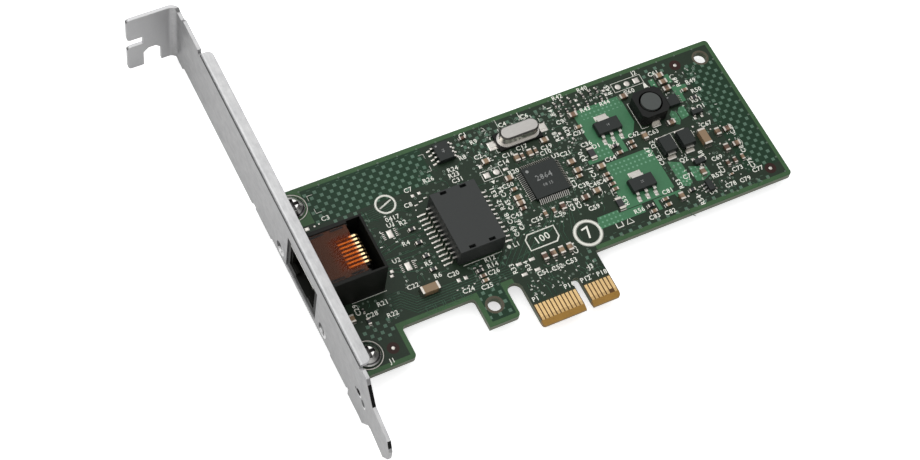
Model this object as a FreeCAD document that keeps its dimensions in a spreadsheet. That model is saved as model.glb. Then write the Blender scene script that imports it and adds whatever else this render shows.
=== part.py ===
import FreeCAD, Part
import os
import re
import Sketcher

# Network interface card: a two-layer board with a card edge, a full-height mounting
# bracket, a shielded network jack with its isolation transformer, the controller and
# the supply parts.  Millimetres.  The origin is the middle of the key notch on the
# contact edge, halfway through the board.  +X runs from the bracket to the far end,
# +Y from the contacts to the upper edge and +Z out of the component side.

doc = FreeCAD.newDocument("NetworkCard")
sheet = doc.addObject("Spreadsheet::Sheet", "Sizes")

SIZES = {
    # board outline, measured from the key notch and the contact edge
    "board_thickness": 1.57,
    "board_reach": 62.55,
    "board_upper": 54.9,
    "shoulder_height": 12.65,
    "foot_height": 4.45,
    "foot_reach": 42.15,
    "hook_left": 23.75,
    "hook_right": 15.8,
    "contact_left": 12.15,
    "contact_right": 8.05,
    "notch_width": 1.9,
    "notch_depth": 8.25,
    "corner_radius": 1.0,
    "contact_corner": 0.7,
    "bevel_height": 1.3,
    "bevel_depth": 0.45,
    "tooling_hole": 3.2,
    "tooling_x": 20.15,
    "tooling_y": 9.35,
    "far_hole_x": 58.45,
    "far_hole_y": 50.7,
    # gold contacts of the card edge
    "finger_pitch": 1.0,
    "finger_width": 0.7,
    "finger_start": 1.4,
    "finger_length": 4.2,
    "short_finger": 1.0,
    "finger_thickness": 0.05,
    "finger_key": 1.5,
    "finger_count_near": 11,
    "finger_count_far": 7,
    # mounting bracket
    "plate_face": 59.35,
    "sheet_metal": 0.86,
    "board_gap": 0.35,
    "bend_inside": 1.7,
    "tab_under": 102.3,
    "tab_depth": 12.2,
    "tab_low": 3.2,
    "neck_low": 4.3,
    "plate_low": 2.9,
    "plate_high": 16.2,
    "board_recess": 1.6,
    "foot_low": 3.9,
    "tongue_low": 1.5,
    "tongue_high": 11.1,
    "tongue_length": 15.1,
    "tongue_start": 2.0,
    "tongue_lean": 3.5,
    "flange_depth": 2.9,
    "flange_start": 0.9,
    "flange_end": 87.7,
    "flange_corner": 1.4,
    "relief_width": 1.2,
    "relief_depth": 1.3,
    "screw_slot_width": 4.42,
    "screw_slot_depth": 6.3,
    "screw_slot_offset": 5.95,
    "guide_slot_width": 2.8,
    "guide_slot_depth": 4.0,
    "guide_slot_height": 6.8,
    "ear_length": 11.0,
    "ear_width": 8.6,
    "window_clearance": 0.45,
    "window_margin": 0.3,
    "lamp_hole": 3.2,
    "lamp_spacing": 22.8,
    "lamp_height": 1.65,
    "dimple_size": 1.5,
    "dimple_depth": 0.25,
    # screws that join board and bracket
    "screw_setback": 7.15,
    "screw_lower_y": 9.25,
    "screw_upper_y": 50.3,
    "screw_shank": 2.9,
    "screw_hole": 3.2,
    "thread_clearance": 0.05,
    "screw_head": 6.1,
    "screw_rim": 0.35,
    "screw_dome": 1.9,
    "screw_crown": 2.6,
    "screw_tail": 0.7,
    "recess_width": 0.85,
    "recess_length": 3.3,
    "recess_depth": 1.2,
    # network jack
    "jack_centre": 29.9,
    "jack_recess": 0.25,
    "jack_width": 14.8,
    "jack_height": 11.3,
    "jack_length": 17.4,
    "jack_wall": 0.6,
    "jack_floor": 1.5,
    "port_width": 11.9,
    "port_low": 2.6,
    "port_high": 9.7,
    "latch_width": 6.2,
    "latch_low": 1.5,
    "port_bevel": 0.4,
    "ledge_depth": 0.3,
    "ledge_width": 0.5,
    "rim_width": 0.95,
    "bay_start": 13.5,
    "bay_wall": 0.5,
    "film_thickness": 0.06,
    "film_length": 12.4,
    "film_clearance": 0.15,
    "post_size": 3.1,
    "post_setback": 8.6,
    "post_offset": 5.7,
    "post_clearance": 0.1,
    "post_tail": 1.1,
    "carrier_start": 11.6,
    "carrier_length": 3.4,
    "carrier_foot": 0.9,
    "carrier_under": 3.4,
    "carrier_height": 9.3,
    "carrier_width": 8.7,
    "wire_pitch": 1.016,
    "wire_width": 0.45,
    "wire_thickness": 0.3,
    "wire_top": 9.9,
    "wire_tip": 3.8,
    "wire_tip_height": 5.4,
    "wire_crest": 9.6,
    "wire_back": 15.3,
    "wire_bend": 0.9,
    "wire_jog": 2.6,
    "tail_step": 2.2,
    "tail_hole": 0.9,
    "tail_end": 0.9,
    # isolation transformer
    "magnetics_x": -17.5,
    "magnetics_y": 29.95,
    "magnetics_width": 11.6,
    "magnetics_length": 16.75,
    "magnetics_height": 5.7,
    "magnetics_pitch": 1.27,
    "magnetics_leads": 12,
    "magnetics_lead_width": 0.42,
    "magnetics_toe": 8.2,
    "magnetics_knee": 6.6,
    "magnetics_exit": 2.0,
    "pocket_width": 1.6,
    "pocket_length": 0.8,
    "pocket_inset": 0.35,
    "pocket_spread": 2.55,
    "pocket_depth": 1.4,
    # shared lead and seat sizes
    "lead_thickness": 0.2,
    "standoff": 0.15,
    # controller chip
    "controller_x": 5.85,
    "controller_y": 34.15,
    "controller_side": 8.9,
    "controller_height": 0.95,
    "controller_pitch": 0.5,
    "controller_leads": 16,
    "controller_lead_width": 0.22,
    "controller_toe": 5.45,
    "controller_knee": 4.75,
    "controller_exit": 0.45,
    "fine_lead_thickness": 0.13,
    # memory chip
    "memory_x": -13.3,
    "memory_y": 50.1,
    "memory_width": 3.9,
    "memory_length": 4.9,
    "memory_height": 1.45,
    "memory_pitch": 1.27,
    "memory_leads": 4,
    "memory_lead_width": 0.42,
    "memory_toe": 3.0,
    "memory_knee": 2.35,
    "memory_exit": 0.75,
    # small power chip
    "switch_x": 45.3,
    "switch_y": 41.9,
    "switch_width": 3.0,
    "switch_length": 3.0,
    "switch_height": 0.95,
    "switch_pitch": 0.65,
    "switch_leads": 4,
    "switch_lead_width": 0.3,
    "switch_toe": 2.45,
    "switch_knee": 1.85,
    "switch_exit": 0.4,
    # reset chip
    "reset_x": 41.8,
    "reset_y": 17.3,
    "reset_width": 1.6,
    "reset_length": 2.9,
    "reset_height": 1.0,
    "reset_pitch": 0.95,
    "reset_leads": 3,
    "reset_lead_width": 0.4,
    "reset_toe": 1.4,
    "reset_knee": 1.05,
    "reset_exit": 0.4,
    # crystal
    "crystal_x": 5.45,
    "crystal_y": 47.6,
    "crystal_base_length": 11.5,
    "crystal_base_width": 4.8,
    "crystal_base_height": 0.6,
    "crystal_rim_length": 11.1,
    "crystal_rim_width": 4.5,
    "crystal_rim_height": 0.35,
    "crystal_can_length": 10.2,
    "crystal_can_width": 3.7,
    "crystal_can_height": 3.2,
    "crystal_edge": 0.35,
    "crystal_lead_width": 0.9,
    "crystal_lead_length": 1.3,
    "crystal_lead_reach": 1.8,
    "crystal_lead_thickness": 0.15,
    # voltage regulators
    "regulator_x": 26.75,
    "regulator_upper_y": 41.4,
    "regulator_lower_y": 24.15,
    "regulator_width": 6.5,
    "regulator_length": 3.5,
    "regulator_height": 1.5,
    "regulator_pitch": 2.3,
    "regulator_lead_width": 0.75,
    "regulator_toe": 3.5,
    "regulator_knee": 2.3,
    "regulator_exit": 0.6,
    "regulator_lead_thickness": 0.28,
    "regulator_tab_width": 3.1,
    "moulding_draft": 7.0,
    # power inductor
    "inductor_x": 38.5,
    "inductor_y": 42.0,
    "inductor_side": 7.6,
    "inductor_corner": 1.0,
    "inductor_height": 3.7,
    "inductor_foot": 0.3,
    "inductor_bore": 5.9,
    "core_flange": 5.0,
    "core_waist": 2.6,
    "core_flange_height": 0.8,
    "core_proud": 0.25,
    "winding_gap": 0.15,
    "winding_size": 4.6,
    "clip_width": 2.3,
    "clip_reach": 0.75,
    "clip_thickness": 0.25,
    "clip_height": 1.4,
    # rectifier diodes
    "diode_x": 37.5,
    "diode_step": 5.05,
    "diode_y": 30.9,
    "diode_width": 3.6,
    "diode_length": 4.4,
    "diode_height": 2.15,
    "diode_lead_width": 2.1,
    "diode_toe": 2.9,
    "diode_knee": 2.45,
    "diode_exit": 1.0,
    "diode_lead_thickness": 0.22,
    # switching transistor
    "transistor_x": 49.35,
    "transistor_y": 36.9,
    "second_x": 42.9,
    "second_y": 24.2,
    "transistor_width": 2.9,
    "transistor_length": 1.35,
    "transistor_height": 0.95,
    "transistor_pitch": 1.9,
    "transistor_lead_width": 0.42,
    "transistor_toe": 1.25,
    "transistor_knee": 0.9,
    "transistor_exit": 0.45,
    # signal lamps behind the bracket
    "lamp_setback": 2.75,
    "lamp_width": 3.0,
    "lamp_length": 1.6,
    "lamp_body_height": 2.6,
    "lamp_lens": 1.9,
    "lamp_lens_length": 0.6,
    # chip capacitors and resistors, in five body sizes
    "chip1_length": 1.0, "chip1_width": 0.5, "chip1_height": 0.4, "chip1_end": 0.22,
    "chip2_length": 1.6, "chip2_width": 0.8, "chip2_height": 0.6, "chip2_end": 0.34,
    "chip3_length": 2.0, "chip3_width": 1.25, "chip3_height": 0.9, "chip3_end": 0.45,
    "chip4_length": 4.5, "chip4_width": 2.0, "chip4_height": 1.7, "chip4_end": 0.55,
    "chip5_length": 3.2, "chip5_width": 1.6, "chip5_height": 0.6, "chip5_end": 0.6,
    "end_plating": 0.03,
}

for row, (alias, number) in enumerate(SIZES.items(), start=1):
    sheet.set("A%d" % row, alias.replace("_", " "))
    sheet.set("B%d" % row, str(number))
    sheet.setAlias("B%d" % row, alias)
doc.recompute()

# places that follow the bracket, because these pieces are fixed to it
LINKS = {
    "screw_x": "(plate_face - screw_setback)",
    "jack_face": "(plate_face - jack_recess)",
    "lamp_x": "(plate_face - lamp_setback)",
    "surface": "(board_thickness / 2)",
    "inner_face": "(-plate_face + sheet_metal)",
}
WORD = re.compile(r"[a-z][a-z_0-9]*")
pieces = []


def full(text):
    """Write a size formula the way the document reads it."""
    def meaning(match):
        word = match.group(0)
        if word in LINKS:
            return full(LINKS[word])
        return "Sizes." + word if word in SIZES else word
    return WORD.sub(meaning, text)


def value(text):
    return float(sheet.evalExpression(full(text)))


def bind(item, path, text):
    item.setExpression(path, full(text))


def new_body(label, x="0", y="0", z="0"):
    body = doc.addObject("PartDesign::Body", label)
    for axis, text in zip("xyz", (x, y, z)):
        bind(body, "Placement.Base." + axis, text)
    pieces.append(body)
    return body


def origin_of(body, role):
    return [item for item in body.Origin.OriginFeatures if item.Role == role][0]


def new_sketch(body, plane, lift="0"):
    sketch = body.newObject("Sketcher::SketchObject", body.Name + "_sketch")
    sketch.AttachmentSupport = [(origin_of(body, plane), "")]
    sketch.MapMode = "FlatFace"
    bind(sketch, "AttachmentOffset.Base.z", lift)
    return sketch


def pin_point(sketch, curve, end, across, along):
    """Tie one sketch point to its two formulas."""
    for kind, text in (("DistanceX", across), ("DistanceY", along)):
        index = sketch.addConstraint(Sketcher.Constraint(kind, -1, 1, curve, end, value(text)))
        bind(sketch, "Constraints[%d]" % index, text)


def outline(sketch, corners):
    first = sketch.GeometryCount
    count = len(corners)
    spots = [FreeCAD.Vector(value(across), value(along), 0) for across, along in corners]
    for n in range(count):
        sketch.addGeometry(Part.LineSegment(spots[n], spots[(n + 1) % count]), False)
    for n in range(count):
        after = first + (n + 1) % count
        sketch.addConstraint(Sketcher.Constraint("Coincident", first + n, 2, after, 1))
    for n, (across, along) in enumerate(corners):
        pin_point(sketch, first + n, 1, across, along)
    return sketch


def rectangle(sketch, left, right, low, high):
    return outline(sketch, [(left, low), (right, low), (right, high), (left, high)])


def circle(sketch, across, along, diameter):
    centre = FreeCAD.Vector(value(across), value(along), 0)
    ring = Part.Circle(centre, FreeCAD.Vector(0, 0, 1), value(diameter) / 2)
    curve = sketch.addGeometry(ring, False)
    pin_point(sketch, curve, 3, across, along)
    index = sketch.addConstraint(Sketcher.Constraint("Diameter", curve, value(diameter)))
    bind(sketch, "Constraints[%d]" % index, diameter)
    return sketch


def pad(body, sketch, length, middle=False, back=False, taper="0"):
    feature = body.newObject("PartDesign::Pad", body.Name + "_pad")
    feature.Profile = sketch
    feature.SideType = "Symmetric" if middle else "One side"
    feature.Reversed = back
    bind(feature, "Length", length)
    bind(feature, "TaperAngle", taper)
    doc.recompute()
    return feature


def pocket(body, sketch, depth=None, back=False):
    """Cut a sketch, right through both ways or to a depth, and see that it cut."""
    before = body.Shape.Volume
    feature = body.newObject("PartDesign::Pocket", body.Name + "_pocket")
    feature.Profile = sketch
    if depth is None:
        feature.Type = "ThroughAll"
        feature.SideType = "Symmetric"
    else:
        bind(feature, "Length", depth)
        feature.Reversed = back
    doc.recompute()
    if not body.Shape.Volume < before:
        raise RuntimeError(feature.Name + " cuts nothing")
    return feature


def edges_at(body, axis, spots):
    """Names of the straight edges along an axis through the given spots."""
    names = []
    others = [n for n in range(3) if n != axis]
    for number, edge in enumerate(body.Tip.Shape.Edges, start=1):
        if edge.Curve.TypeId != "Part::GeomLine" or len(edge.Vertexes) != 2:
            continue
        start, end = edge.Vertexes[0].Point, edge.Vertexes[1].Point
        flat = all(abs(start[n] - end[n]) < 1e-6 for n in others)
        for spot in spots:
            near = all(abs(start[n] - s) < 1e-3 for n, s in zip(others, spot))
            if flat and near:
                names.append("Edge%d" % number)
    return names


def round_edges(body, names, radius):
    if not names:
        raise RuntimeError(body.Name + " has no such edge")
    base = body.Tip
    feature = body.newObject("PartDesign::Fillet", body.Name + "_round")
    feature.Base = (base, names)
    bind(feature, "Radius", radius)
    body.Tip = feature
    doc.recompute()
    return feature


def bevel_edges(body, names, size):
    base = body.Tip
    feature = body.newObject("PartDesign::Chamfer", body.Name + "_bevel")
    feature.Base = (base, names)
    bind(feature, "Size", size)
    body.Tip = feature
    doc.recompute()
    return feature


def repeat(body, features, steps):
    """Repeat features along or about axes: (axis, count, spacing or None for a turn)."""
    many = body.newObject("PartDesign::MultiTransform", body.Name + "_rows")
    many.Originals = features
    turns = []
    for axis, count, spacing in steps:
        if spacing is None:
            step = body.newObject("PartDesign::PolarPattern", body.Name + "_turn")
            step.Axis = (origin_of(body, axis), [""])
            step.Angle = 360
        else:
            step = body.newObject("PartDesign::LinearPattern", body.Name + "_row")
            step.Direction = (origin_of(body, axis), [""])
            bind(step, "Length", "(%s - 1) * %s" % (count, spacing))
        bind(step, "Occurrences", count)
        turns.append(step)
    many.Transformations = turns
    body.Tip = many
    doc.recompute()
    return many


def new_box(label, x, y, z, length, width, height):
    box = doc.addObject("Part::Box", label)
    for path, text in (("Placement.Base.x", x), ("Placement.Base.y", y), ("Placement.Base.z", z),
                       ("Length", length), ("Width", width), ("Height", height)):
        bind(box, path, text)
    return box


def new_group(label, members):
    group = doc.addObject("Part::Compound", label)
    group.Links = members
    pieces.append(group)
    return group


surface = "surface"
inner_face = "inner_face"


# ---- circuit board: one glass laminate, routed and drilled ----
board = new_body("circuit_board")
board_left = inner_face + " + board_gap"
slot_width = "(hook_right - contact_left)"
shape = outline(new_sketch(board, "XY_Plane"), [
    (board_left, "foot_height"),
    ("-foot_reach", "foot_height"),
    ("-foot_reach", "shoulder_height"),
    ("-hook_left", "shoulder_height"),
    ("-hook_left", "foot_height"),
    ("-hook_right", "foot_height"),
    ("-hook_right", "shoulder_height - %s / 2" % slot_width),
    ("-contact_left", "shoulder_height - %s / 2" % slot_width),
    ("-contact_left", "0"),
    ("contact_right", "0"),
    ("contact_right", "shoulder_height"),
    ("board_reach", "shoulder_height"),
    ("board_reach", "board_upper"),
    (board_left, "board_upper"),
])
pad(board, shape, "board_thickness", middle=True)
corners = [("board_reach", "shoulder_height"), ("board_reach", "board_upper"),
           ("-foot_reach", "foot_height"), ("-foot_reach", "shoulder_height"),
           ("-hook_left", "shoulder_height"), ("-hook_right", "foot_height")]
round_edges(board, edges_at(board, 2, [(value(x), value(y)) for x, y in corners]), "corner_radius")
corners = [("-contact_left", "0"), ("contact_right", "0")]
round_edges(board, edges_at(board, 2, [(value(x), value(y)) for x, y in corners]), "contact_corner")
pocket(board, circle(new_sketch(board, "XY_Plane"), "-(hook_right + contact_left) / 2",
                     "shoulder_height - %s / 2" % slot_width, slot_width))
pocket(board, rectangle(new_sketch(board, "XY_Plane"), "-notch_width / 2", "notch_width / 2",
                        "-1", "notch_depth - notch_width / 2"))
pocket(board, circle(new_sketch(board, "XY_Plane"), "0", "notch_depth - notch_width / 2", "notch_width"))
drilled = new_sketch(board, "XY_Plane")
circle(drilled, "-tooling_x", "tooling_y", "tooling_hole")
circle(drilled, "far_hole_x", "far_hole_y", "tooling_hole")
circle(drilled, "-screw_x", "screw_lower_y", "screw_hole")
circle(drilled, "-screw_x", "screw_upper_y", "screw_hole")
for side in ("-", "+"):
    circle(drilled, "-jack_face + post_setback", "jack_centre %s post_offset" % side,
           "post_size + 2 * post_clearance")
for n in range(8):
    step = "tail_step" if n % 2 else "0"
    circle(drilled, "-jack_face + wire_back - wire_thickness / 2 - " + step,
           "jack_centre + (%d - 3.5) * wire_pitch" % n, "tail_hole")
pocket(board, drilled)
edge_bevel = new_sketch(board, "YZ_Plane")
for side in ("", "-"):
    outline(edge_bevel, [
        ("0", side + "(board_thickness / 2 - bevel_depth)"),
        ("bevel_height", side + "board_thickness / 2"),
        ("bevel_height", side + "(board_thickness / 2 + 0.5)"),
        ("-0.5", side + "(board_thickness / 2 + 0.5)"),
        ("-0.5", side + "(board_thickness / 2 - bevel_depth)"),
    ])
pocket(board, edge_bevel)


# ---- gold contacts: flat pads on both faces, the last but one made short ----
for label, floor in (("edge_contacts_front", surface),
                     ("edge_contacts_back", "-board_thickness / 2 - finger_thickness")):
    fingers = []
    for n in range(int(value("finger_count_near + finger_count_far"))):
        near = n < value("finger_count_near")
        centre = "-finger_key - %d * finger_pitch" % n if near else \
            "finger_key + (%d - finger_count_near) * finger_pitch" % n
        short = n == value("finger_count_near + finger_count_far") - 2
        lift = " + short_finger" if short and label.endswith("front") else ""
        fingers.append(new_box("%s_%d" % (label, n + 1), centre + " - finger_width / 2",
                               "finger_start" + lift, floor, "finger_width",
                               "finger_length" + lift.replace("+", "-"), "finger_thickness"))
    new_group(label, fingers)


# ---- bracket: one steel sheet, bent to a tab, a long flange, two ears and a tongue ----
bracket = new_body("bracket")
low_limit = "(board_thickness / 2 - neck_low)"
high_limit = "(board_thickness / 2 + plate_high)"
lean = "(tongue_lean * 1 deg)"
section = outline(new_sketch(bracket, "XY_Plane", low_limit), [
    ("-plate_face", "-tongue_start"),
    ("-plate_face - tongue_length * sin%s" % lean, "-tongue_start - tongue_length * cos%s" % lean),
    ("-plate_face - tongue_length * sin%s + sheet_metal * cos%s" % (lean, lean),
     "-tongue_start - tongue_length * cos%s - sheet_metal * sin%s" % (lean, lean)),
    (inner_face, "-tongue_start - sheet_metal * tan(tongue_lean * 0.5 deg)"),
    (inner_face, "tab_under + sheet_metal"),
    ("-plate_face - tab_depth", "tab_under + sheet_metal"),
    ("-plate_face - tab_depth", "tab_under"),
    ("-plate_face", "tab_under"),
])
pad(bracket, section, "neck_low + plate_high")
round_edges(bracket, edges_at(bracket, 2, [(value("-plate_face"), value("tab_under"))]), "bend_inside")
round_edges(bracket, edges_at(bracket, 2, [(value(inner_face), value("tab_under + sheet_metal"))]),
            "bend_inside + sheet_metal")
flange = rectangle(new_sketch(bracket, "XY_Plane", high_limit + " - sheet_metal"),
                   "-plate_face", "-plate_face + flange_depth", "flange_start", "flange_end")
pad(bracket, flange, "sheet_metal")
for row in ("screw_lower_y", "screw_upper_y"):
    ear = rectangle(new_sketch(bracket, "XY_Plane", "-board_thickness / 2 - sheet_metal"),
                    "-plate_face", "-plate_face + ear_length",
                    row + " - ear_width / 2", row + " + ear_width / 2")
    pad(bracket, ear, "sheet_metal")
beyond = "tongue_length + 10"
past = "1"
low_cut = new_sketch(bracket, "YZ_Plane")
ears_low = "(board_thickness / 2 + board_recess * -1)"
outline(low_cut, [
    ("-(%s)" % beyond, low_limit + " - " + past),
    ("-(%s)" % beyond, surface + " + tongue_low + 3.6"),
    ("-tongue_start - tongue_length", surface + " + tongue_low + 3.6"),
    ("-tongue_start - tongue_length + 2.3", surface + " + tongue_low"),
    ("-tongue_start - 5.8", surface + " + tongue_low"),
    ("-tongue_start - 4.6", surface + " + tongue_low - 0.6"),
    ("-tongue_start - 1.6", surface + " - foot_low"),
    ("foot_height - 0.4", surface + " - foot_low"),
    ("foot_height - 0.4", surface + " - board_recess"),
    ("screw_lower_y - ear_width / 2", surface + " - board_recess"),
    ("screw_lower_y - ear_width / 2", "-board_thickness / 2 - sheet_metal"),
    ("screw_lower_y + ear_width / 2", "-board_thickness / 2 - sheet_metal"),
    ("screw_lower_y + ear_width / 2", surface + " - board_recess"),
    ("screw_upper_y - ear_width / 2", surface + " - board_recess"),
    ("screw_upper_y - ear_width / 2", "-board_thickness / 2 - sheet_metal"),
    ("screw_upper_y + ear_width / 2", "-board_thickness / 2 - sheet_metal"),
    ("screw_upper_y + ear_width / 2", surface + " - board_recess"),
    ("board_upper + 0.8", surface + " - board_recess"),
    ("board_upper + 1.8", surface + " - plate_low"),
    ("tab_under - 5", surface + " - plate_low"),
    ("tab_under - 4", low_limit),
    ("tab_under - 1.6", low_limit),
    ("tab_under - 0.8", surface + " - tab_low"),
    ("tab_under + 10", surface + " - tab_low"),
    ("tab_under + 10", low_limit + " - " + past),
])
pocket(bracket, low_cut)
high_cut = new_sketch(bracket, "YZ_Plane")
outline(high_cut, [
    ("-(%s)" % beyond, high_limit + " + " + past),
    ("-(%s)" % beyond, surface + " + tongue_high - 2.6"),
    ("-tongue_start - tongue_length", surface + " + tongue_high - 2.6"),
    ("-tongue_start - tongue_length + 1.5", surface + " + tongue_high"),
    ("-tongue_start - 5.2", surface + " + tongue_high"),
    ("-tongue_start - 0.6", high_limit),
    ("-tongue_start - 0.6", high_limit + " + " + past),
])
outline(high_cut, [
    ("tab_under - 4.8", high_limit + " + " + past),
    ("tab_under - 4.8", high_limit),
    ("tab_under - 3.6", high_limit + " - 1.1"),
    ("tab_under - 1.2", high_limit + " - 1.1"),
    ("tab_under - 0.6", high_limit),
    ("tab_under - 0.6", high_limit + " + " + past),
])
for edge in ("flange_start - relief_width", "flange_end"):
    rectangle(high_cut, edge, edge + " + relief_width", high_limit + " - relief_depth",
              high_limit + " + " + past)
pocket(bracket, high_cut)
fold = [(value("-plate_face"), value(high_limit))]
along_flange = [name for name in edges_at(bracket, 1, fold)
                if bracket.Tip.Shape.getElement(name).Length > value("flange_end") / 2]
round_edges(bracket, along_flange, "sheet_metal")
free_corners = [(value("-plate_face + flange_depth"), value(y)) for y in ("flange_start", "flange_end")]
round_edges(bracket, edges_at(bracket, 2, free_corners), "flange_corner")
ear_corners = [(value("-plate_face + ear_length"), value("%s %s ear_width / 2" % (row, side)))
               for row in ("screw_lower_y", "screw_upper_y") for side in "-+"]
round_edges(bracket, edges_at(bracket, 2, ear_corners), "flange_corner")
through = new_sketch(bracket, "YZ_Plane")
rectangle(through, "jack_centre - jack_width / 2 - window_clearance",
          "jack_centre + jack_width / 2 + window_clearance",
          surface + " - window_margin", surface + " + jack_height + window_clearance")
for side in "-+":
    circle(through, "jack_centre %s lamp_spacing / 2" % side, surface + " + lamp_height", "lamp_hole")
pocket(bracket, through)
tapped = new_sketch(bracket, "XY_Plane")
for row in ("screw_lower_y", "screw_upper_y"):
    circle(tapped, "-screw_x", row, "screw_shank + 2 * thread_clearance")
pocket(bracket, tapped)
slots = new_sketch(bracket, "XZ_Plane")
notch_centre = "-plate_face - screw_slot_offset"
notch_top = "(board_thickness / 2 - tab_low + screw_slot_depth)"
outline(slots, [
    (notch_centre + " - screw_slot_width / 2", low_limit + " - " + past),
    (notch_centre + " + screw_slot_width / 2", low_limit + " - " + past),
    (notch_centre + " + screw_slot_width / 2", notch_top + " - screw_slot_width * 0.3"),
    (notch_centre + " + screw_slot_width * 0.2", notch_top),
    (notch_centre + " - screw_slot_width * 0.2", notch_top),
    (notch_centre + " - screw_slot_width / 2", notch_top + " - screw_slot_width * 0.3"),
])
rectangle(slots, "-plate_face - tab_depth - 1", "-plate_face - tab_depth + guide_slot_depth",
          surface + " + guide_slot_height - guide_slot_width / 2",
          surface + " + guide_slot_height + guide_slot_width / 2")
pocket(bracket, slots)
prong = [(value("-plate_face - tab_depth"), value(z)) for z in
         (surface + " - tab_low", surface + " + guide_slot_height + guide_slot_width / 2",
          surface + " + guide_slot_height - guide_slot_width / 2", high_limit)]
round_edges(bracket, edges_at(bracket, 1, prong), "corner_radius")
dimples = new_sketch(bracket, "YZ_Plane", "-plate_face")
for row, height in (("-0.4", "5.6"), ("-2.9", "4.6")):
    circle(dimples, row, surface + " + " + height, "dimple_size")
pocket(bracket, dimples, "dimple_depth", back=True)


# ---- bracket screws: pan heads with a flat rim and a cross recess ----
screws = new_body("bracket_screws", "-screw_x", "screw_lower_y", surface)
turned = outline(new_sketch(screws, "XZ_Plane"), [
    ("0", "-board_thickness - sheet_metal - screw_tail"),
    ("screw_shank / 2", "-board_thickness - sheet_metal - screw_tail"),
    ("screw_shank / 2", "0"),
    ("screw_head / 2", "0"),
    ("screw_head / 2", "screw_rim"),
    ("screw_crown / 2", "screw_dome"),
    ("0", "screw_dome"),
])
spin = screws.newObject("PartDesign::Revolution", "screw_turned")
spin.Profile = turned
spin.ReferenceAxis = (turned, ["V_Axis"])
spin.Angle = 360
doc.recompute()
cross = new_sketch(screws, "XY_Plane", "screw_dome")
half_bar, half_span = "recess_width / 2", "recess_length / 2"
outline(cross, [
    ("-" + half_bar, "-" + half_span), (half_bar, "-" + half_span),
    (half_bar, "-" + half_bar), (half_span, "-" + half_bar),
    (half_span, half_bar), (half_bar, half_bar),
    (half_bar, half_span), ("-" + half_bar, half_span),
    ("-" + half_bar, half_bar), ("-" + half_span, half_bar),
    ("-" + half_span, "-" + half_bar), ("-" + half_bar, "-" + half_bar),
])
driven = pocket(screws, cross, "recess_depth")
repeat(screws, [spin, driven], [("Y_Axis", "2", "(screw_upper_y - screw_lower_y)")])


# ---- jack housing: one moulding, open at the port and at the top ----
jack = new_body("jack_housing", "-jack_face", "jack_centre", surface)
pad(jack, rectangle(new_sketch(jack, "XY_Plane"), "0", "jack_length", "-jack_width / 2", "jack_width / 2"),
    "jack_height")
posts = new_sketch(jack, "XY_Plane")
for side in ("-", ""):
    circle(posts, "post_setback", side + "post_offset", "post_size")
pad(jack, posts, "board_thickness + post_tail", back=True)
ledge = rectangle(new_sketch(jack, "XY_Plane", "jack_height"), "jack_wall", "jack_length - jack_wall",
                  "-jack_width / 2 + rim_width", "jack_width / 2 - rim_width")
pocket(jack, ledge, "ledge_depth")
chamber = rectangle(new_sketch(jack, "XY_Plane", "jack_height"),
                    "jack_wall + ledge_width", "jack_length - jack_wall", "-port_width / 2", "port_width / 2")
pocket(jack, chamber, "jack_height - jack_floor")
bay = rectangle(new_sketch(jack, "XY_Plane", "jack_height"), "bay_start", "jack_length - jack_wall",
                "-jack_width / 2 + bay_wall", "jack_width / 2 - bay_wall")
pocket(jack, bay, "jack_height - jack_floor")
mouth = new_sketch(jack, "YZ_Plane")
outline(mouth, [
    ("-port_width / 2", "port_low"), ("-latch_width / 2", "port_low"),
    ("-latch_width / 2", "latch_low"), ("latch_width / 2", "latch_low"),
    ("latch_width / 2", "port_low"), ("port_width / 2", "port_low"),
    ("port_width / 2", "port_high"), ("-port_width / 2", "port_high"),
])
pocket(jack, mouth, "jack_wall + ledge_width + 0.2", back=True)
lead_in = rectangle(new_sketch(jack, "YZ_Plane"), "-port_width / 2 - port_bevel", "port_width / 2 + port_bevel",
                    "port_low - port_bevel", "port_high + port_bevel")
pocket(jack, lead_in, "port_bevel", back=True)
tails = rectangle(new_sketch(jack, "XY_Plane"), "carrier_start + carrier_foot", "wire_back + 0.5",
                  "-carrier_width / 2", "carrier_width / 2")
pocket(jack, tails, "jack_floor + 0.5", back=True)


# ---- contact carrier: the stepped block that holds the eight wires up ----
carrier = new_body("jack_contact_carrier", "-jack_face", "jack_centre", surface)
block = outline(new_sketch(carrier, "XZ_Plane"), [
    ("carrier_start", "jack_floor"),
    ("carrier_start + carrier_foot", "jack_floor"),
    ("carrier_start + carrier_foot", "carrier_under"),
    ("carrier_start + carrier_length", "carrier_under"),
    ("carrier_start + carrier_length", "carrier_height - wire_bend"),
    ("carrier_start + carrier_length - wire_bend / 2", "carrier_height"),
    ("carrier_start", "carrier_height"),
])
pad(carrier, block, "carrier_width", middle=True)


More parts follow.
